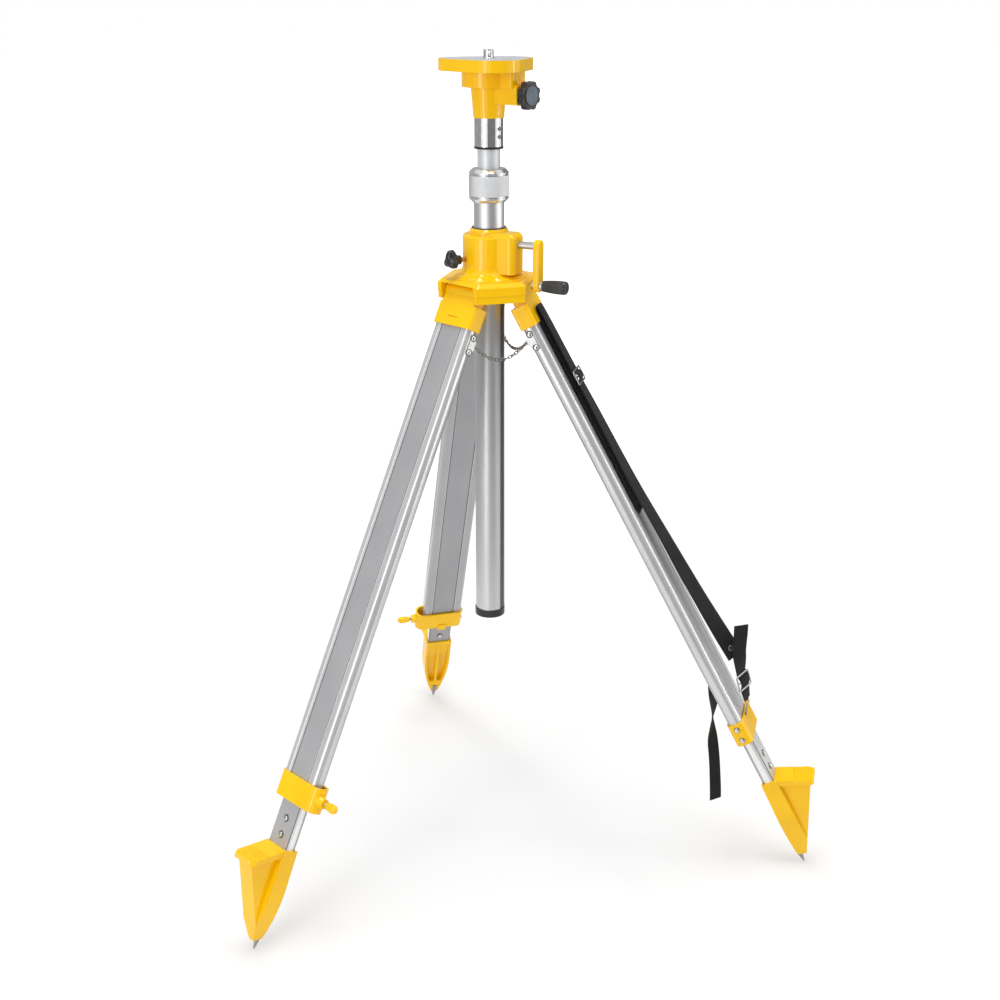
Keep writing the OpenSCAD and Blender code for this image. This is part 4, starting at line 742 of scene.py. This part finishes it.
def wing_screws():
    """Finger of each wing screw: a section squarer than an ellipse that swells from the stud and rounds off
    at its end, with the bare threaded stud between it and the clamp."""
    length, half_across, half_along, square = 25.5, 5.7, 7.4, 2.6
    root_r, crest_r, half_pitch = 3.0, 3.3, 0.4
    t = np.linspace(0, 1, 30)
    swell = 0.72 + 0.28 * np.sin(np.clip(t / 0.62, 0, 1) * math.pi / 2)
    foot = np.sqrt(1 - (1 - np.clip((t + 0.035) / 0.12, 0, 1)) ** 2)
    tip = np.sqrt(1 - (0.985 * np.clip((t - 0.66) / 0.34, 0, 1)) ** 2)
    size = (swell * foot * tip)[:, None]
    a = np.arange(40) * TAU / 40
    c, s = (np.sign(w) * np.abs(w) ** (2 / square) for w in (np.cos(a), np.sin(a)))
    along = np.broadcast_to(length * t[:, None], (30, 40))
    rings = np.stack([half_along * size * c, half_across * size * s, along], axis=-1)
    thread = [(crest_r if i % 2 else root_r, -0.5 + half_pitch * i) for i in range(17)]
    thread = [(root_r + 0.05, -8.0)] + thread + [(root_r, 6.8)]
    for n in LEGS:
        stud = leg_place(n).then(aim((0, 1, 0)), (-LEG_INSET, BOSS_END, -CLAMP_AT))
        paddle = stud.then(origin=(0, 0, STUD_SHOW))
        for name, part, finish, slot in (("finger", skin(paddle(rings)), PAINT, "yellow_paint"),
                                         ("stud", lathe(thread, stud, 32), STUD_STEEL, "steel")):
            obj = piece(f"leg_{n}_wing_{name}", [part], finish, f"wing_{n}", 60.0)
            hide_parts(f"leg_{n}_wing")


# Carrying strap on the second leg

STRAP_W, PATCH_W, STRAP_T = 32.0, 27.0, 2.0
TAIL_W, TAIL_T, TAIL_LEN, TAIL_X, TAIL_AT = 25.0, 1.6, 235.0, -17.55, 775.0
# Height off the leg's pin line, distance down the leg, width, length, middle bar, lean, spin, lift
WIRE_FRAMES = [(21.9, 172, 50, 26, True, 0, 0, 0.0), (32.4, 786, 38, 30, True, 11.7, -28, 2.6),
               (18.15, 835, 20, 28, False, 30, 0, 0.0)]
RIVET_X, RIVET_AT, RIVET_TURN = 39.5, 722.0, -48.0


def smooth_line(points, count, passes=3):
    """Evenly spaced points on a polyline whose corners are rounded by cutting them a few times."""
    p = np.asarray(points, float)
    for _ in range(passes):
        a, b = p[:-1], p[1:]
        cut = np.stack([0.75 * a + 0.25 * b, 0.25 * a + 0.75 * b], axis=1).reshape(-1, p.shape[1])
        p = np.vstack([p[:1], cut, p[-1:]])
    run = np.concatenate([[0], np.cumsum(np.linalg.norm(np.diff(p, axis=0), axis=1))])
    s = np.linspace(0, run[-1], count)
    return np.stack([np.interp(s, run, p[:, i]) for i in range(p.shape[1])], axis=1), s


def evened(values, reach):
    """Each value replaced by the mean of those up to reach places before and after it."""
    count = 2 * reach + 1
    return np.convolve(np.pad(values, reach, mode="edge"), np.ones(count) / count, "valid")


def strap_strip(name, line, s, across, width, thick, body, crown=0.0):
    """Flat webbing: a rounded flat section carried along a line, with its across direction given at each
    point and a slight crown over its width. Returns the piece and its length in metres."""
    a = np.concatenate([np.linspace(-1, 1, 15), np.linspace(1, -1, 15)])
    b = np.repeat([1.0, -1.0], 15) * np.sqrt(np.clip(1 - np.abs(a) ** 9, 0.02, 1))
    way = np.gradient(line, axis=0)
    way /= np.linalg.norm(way, axis=1)[:, None]
    across = across - np.sum(across * way, axis=1)[:, None] * way
    across /= np.linalg.norm(across, axis=1)[:, None]
    normal = np.cross(way, across)
    lift = crown * (1 - a * a)
    rings = (line[:, None] + width / 2 * a[None, :, None] * across[:, None]
             + (thick / 2 * b + lift)[None, :, None] * normal[:, None])
    part = skin(rings * MM)
    u = np.broadcast_to(a * width / 2, (len(s), 30))
    v = np.broadcast_to(s[:, None], (len(s), 30))
    uv = np.vstack([np.stack([u, v], axis=-1).reshape(-1, 2), [[0, 0], [0, s[-1]]]]) * MM
    obj = piece(name, [part], WEBBING, body, 60.0, uv)
    return obj, s[-1] * MM


def carrying_strap():
    """Webbing that runs up the leg, folds back on the bracket, goes over the slide buckle's bar and comes
    down again with a slow twist, a riveted patch with a turned-up end and a short strap to the hook, and
    a loose tail that hangs and twists. Points are height off the pin line and place along the leg."""
    leg = leg_place(2)

    def to_leg(flat):
        return leg(np.stack([flat[:, 0], 0 * flat[:, 0], flat[:, 1]], axis=1)) / MM

    def turned(degrees, axes):
        a = np.radians(degrees)
        return np.stack([np.sin(a), np.cos(a), 0 * a], axis=1) @ axes.T

    path, s = smooth_line([(9.45, -430), (9.45, -300), (9.45, -140), (9.45, -72), (12.45, -58), (12.45, -40),
                           (14.95, -34.8), (17.45, -40), (18.45, -120), (18.9, -157), (19.3, -162),
                           (24.3, -168.5), (24.7, -172), (24.3, -175.5), (19.5, -182), (19.3, -187),
                           (20.3, -270), (22.45, -430), (30.2, -580), (36.5, -690), (41.0, -738)], 640)
    down = s > s[np.argmax(path[:, 1])]
    ripple = 0.35 * np.sin(s / 41.0) * np.clip((s - 500) / 90, 0, 1)
    path = path + np.stack([ripple, 0 * s], axis=1)
    lean = np.interp(-path[:, 1], [190, 420, 620, 738], [0, 13, 32, 50]) * down
    across = turned(lean, leg.axes)
    run, length = strap_strip("strap_run", to_leg(path), s, across, STRAP_W, STRAP_T, "leg_2")
    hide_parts("strap_webbing")

    path, s = smooth_line([(75.5, -689), (66.5, -706), (57.0, -722), (50.0, -735), (44.5, -750), (39.5, -763),
                           (35.6, -772), (37.4, -779), (37.6, -786), (34.5, -793), (29.8, -800),
                           (25.15, -820.9)], 240)
    lean = np.interp(s, [0, 40, 62, 90, 125, 145], [62, 60, 52, 30, 28, 12])
    across = turned(lean, leg.axes)
    patch, length = strap_strip("strap_patch", to_leg(path), s, across, PATCH_W, STRAP_T, "leg_2", 0.25)
    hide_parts("strap_tail")

    top = leg([TAIL_X, 0, -TAIL_AT]) / MM
    s = np.linspace(0, TAIL_LEN, 150)
    sway = np.interp(s, [0, 20, 60, 100, 150, 215, 235], [0, 0, -0.5, 1.5, 8.5, 14, 15])
    sway = evened(sway, 12)
    line = top + np.stack([sway - sway[0], 0 * s, -s], axis=1)
    spin = evened(np.interp(s, [0, 25, 70, 110, 235], [112, 128, 180, 220, 228]), 8)
    across = turned(spin, turn("z", LEG_AZIMUTH[2]))
    tail, length = strap_strip("strap_loose_end", line, s, across, TAIL_W, TAIL_T, "leg_2")
    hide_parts("strap_tail")


def strap_hardware():
    """Bent wire frames with a middle bar, the hook's loop, and the patch's rivet."""
    leg = leg_place(2)
    wire, corner = 3.0, 3.2
    parts = []
    for x, d, w, l, bar, lean, spin, lift in WIRE_FRAMES:
        place = leg.then(turn("y", lean) @ turn("z", spin), (x, 0, -d)).then(origin=(lift, 0, 0))
        path, out = rounded_frame(w - wire, l - wire, corner)
        up = np.broadcast_to([1.0, 0, 0], path.shape)
        wires = [tube(path, out, up, 1.8, 1.15, 12, True)]
        if bar:
            y = np.linspace(-1, 1, 12) * (w - wire) / 2
            line = np.stack([0 * y, y, 0 * y], axis=1)
            side, up = (np.broadcast_to(way, line.shape) for way in ([0, 0, 1.0], [1.0, 0, 0]))
            wires.append(tube(line, side, up, 1.5, 1.1, 12))
        parts += [(place(points), quads, tris) for points, quads, tris in wires]
    rivet = leg.then(turn("z", RIVET_TURN), (RIVET_X, 0, -RIVET_AT)).then(TO_X, (1.05, 0, 0))
    ring = [(5.4, -0.6), (5.6, 0.5), (5.0, 1.3), (3.7, 1.3), (2.9, 0.4), (0.6, 0.3)]
    parts.append(lathe(ring, rivet, 40))
    obj = piece("strap_hardware", parts, BUCKLE_STEEL, "leg_2", 50.0)
    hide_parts("strap_buckles")


clamp_collar()
column_wiper()
screw_thread()
fluted_grip()
cast_crank_arm()
lobed_lock_knob()
spreader_chains()
fastener_heads()
wing_screws()
carrying_strap()
strap_hardware()


# Studio

CAMERA_AT, CAMERA_TILT, CAMERA_PAN = (0.002, -2.2967, 1.5015), 69.58, -0.402
SENSOR_W, LENS = 36.0, 50.03
AMBIENT, GROUND_LIT, GROUND_GLOW = 0.64, 0.46, 0.46
STRIP_LOW, STRIP_HIGH = 0.02, 2.3
# Azimuth right of the camera's side, and how bright a card is there
CARD_TONES = [(-180, 0.45), (-66, 0.46), (-58, 1.0), (-14, 1.0), (-7, 0.26), (50, 0.26), (60, 1.0), (110, 1.0),
              (120, 0.12), (150, 0.22), (180, 0.45)]


def grey(tone):
    return (tone, tone, tone, 1)


def bare_nodes(owner):
    """The owner's node tree, emptied."""
    owner.use_nodes = True
    owner.node_tree.nodes.clear()
    return Nodes(owner.node_tree)


def linked(name, data):
    """A new object of the scene."""
    obj = bpy.data.objects.new(name, data)
    bpy.context.scene.collection.objects.link(obj)
    return obj


def seen_rays(nodes):
    """1 for rays from the camera, from mirrors and through glass."""
    path = nodes.new("LightPath").outputs
    plain = nodes.math("MAXIMUM", path["Is Camera Ray"], path["Is Glossy Ray"])
    return nodes.math("MAXIMUM", plain, path["Is Transmission Ray"])


def camera():
    data = bpy.data.cameras.new("camera")
    data.sensor_width, data.lens, data.clip_end = SENSOR_W, LENS, 100
    obj = linked("camera", data)
    obj.location = CAMERA_AT
    obj.rotation_euler = Euler((math.radians(CAMERA_TILT), 0, math.radians(CAMERA_PAN)))
    bpy.context.scene.camera = obj


def pale_floor():
    """Pale ground that stays white to camera, mirror and glass rays and keeps the soft shadows. Its glow
    grows with the distance from the middle, so it is weakest under the part."""
    r = 30.0
    mesh = bpy.data.meshes.new("floor")
    mesh.from_pydata([(-r, -r, 0), (r, -r, 0), (r, r, 0), (-r, r, 0)], [], [(0, 1, 2, 3)])
    material = bpy.data.materials.new("pale_ground")
    mesh.materials.append(material)
    nodes = bare_nodes(material)
    spot = nodes.new("TexCoord").outputs["Object"]
    away = nodes.new("VectorMath", {0: spot}, operation="LENGTH").outputs["Value"]
    fade = nodes.new("MapRange", {"Value": away, "From Min": 0.7, "From Max": 3.6, "To Min": GROUND_GLOW,
                                  "To Max": 1.0}, interpolation_type="SMOOTHSTEP").outputs["Result"]
    glow = nodes.new("Emission", {"Strength": fade}).outputs[0]
    lit = nodes.new("BsdfDiffuse", {"Color": grey(GROUND_LIT)}).outputs[0]
    both = nodes.new("AddShader", {0: lit, 1: glow}).outputs[0]
    plain = nodes.new("BsdfDiffuse", {"Color": grey(0.8)}).outputs[0]
    mixed = nodes.new("MixShader", {0: seen_rays(nodes), 1: plain, 2: both}).outputs[0]
    nodes.new("OutputMaterial", {"Surface": mixed})
    linked("floor", mesh)


def studio_world():
    """White to the rays that see it, and a dimmer even light to the rest."""
    world = bpy.data.worlds.new("studio")
    bpy.context.scene.world = world
    nodes = bare_nodes(world)
    ambient, white = (nodes.new("Background", {"Color": grey(1), "Strength": strength}).outputs[0]
                      for strength in (AMBIENT, 1.0))
    mixed = nodes.new("MixShader", {0: seen_rays(nodes), 1: ambient, 2: white}).outputs[0]
    nodes.new("OutputWorld", {"Surface": mixed})


def studio_cards():
    """Curved cards round the tripod that only metal and gloss see: a tone for each azimuth right of the
    camera's side, with white gaps where the lamps stand."""
    radius, foot, height = 1.25, 0.004, 2.3
    a = np.linspace(-180, 180, 181)
    tone = np.interp(a, *np.array(CARD_TONES, float).T)
    ring = np.stack([radius * np.sin(np.radians(a)), -radius * np.cos(np.radians(a))], axis=1)
    for k, shown in enumerate((a < -61, (a > -12) & (a < 57), a > 113)):
        side = ring[shown]
        n = len(side)
        points = np.vstack([np.column_stack([side, np.full(n, z)]) for z in (foot, height)])
        i = np.arange(n - 1)
        mesh = bpy.data.meshes.new(f"studio_card_{k + 1}")
        mesh.from_pydata(points, [], np.stack([i, i + 1, i + 1 + n, i + n], axis=1).tolist())
        layer = mesh.attributes.new("tone", "FLOAT", "POINT")
        layer.data.foreach_set("value", np.tile(tone[shown], 2).astype(np.float32))
        material = bpy.data.materials.new(f"card_tone_{k + 1}")
        mesh.materials.append(material)
        nodes = bare_nodes(material)
        strength = nodes.new("Attribute", attribute_name="tone").outputs["Fac"]
        nodes.new("OutputMaterial", {"Surface": nodes.new("Emission", {"Strength": strength}).outputs[0]})
        obj = linked(f"studio_card_{k + 1}", mesh)
        obj.visible_camera = obj.visible_diffuse = obj.visible_shadow = obj.visible_transmission = False


def area_lamp(name, spot, goal, width, height, watts):
    """Rectangular lamp that faces a point and isn't seen itself."""
    light = bpy.data.lights.new(name, "AREA")
    light.shape, light.size, light.size_y, light.energy = "RECTANGLE", width, height, watts
    obj = linked(name, light)
    obj.location = spot
    obj.rotation_euler = (Vector(goal) - obj.location).to_track_quat("-Z", "Y").to_euler()
    obj.visible_camera = False


def strip_lamp(name, azimuth, distance, width, watts):
    """Upright lamp at an azimuth right of the camera's side, facing the tripod's axis."""
    a = math.radians(azimuth)
    mid = (STRIP_LOW + STRIP_HIGH) / 2
    spot = (distance * math.sin(a), -distance * math.cos(a), mid)
    area_lamp(name, spot, (0, 0, mid), width, STRIP_HIGH - STRIP_LOW, watts)


camera()
pale_floor()
studio_world()
studio_cards()
strip_lamp("left_strip", -36, 2.3, 0.55, 16)
strip_lamp("right_strip", 80, 2.2, 0.25, 8)
strip_lamp("rim_strip", -150, 2.4, 0.35, 14)
area_lamp("ceiling_lamp", (0, -0.1, 3.4), (0, 0, 0.8), 1.4, 1.4, 60)
bpy.context.scene.view_settings.view_transform = "Standard"
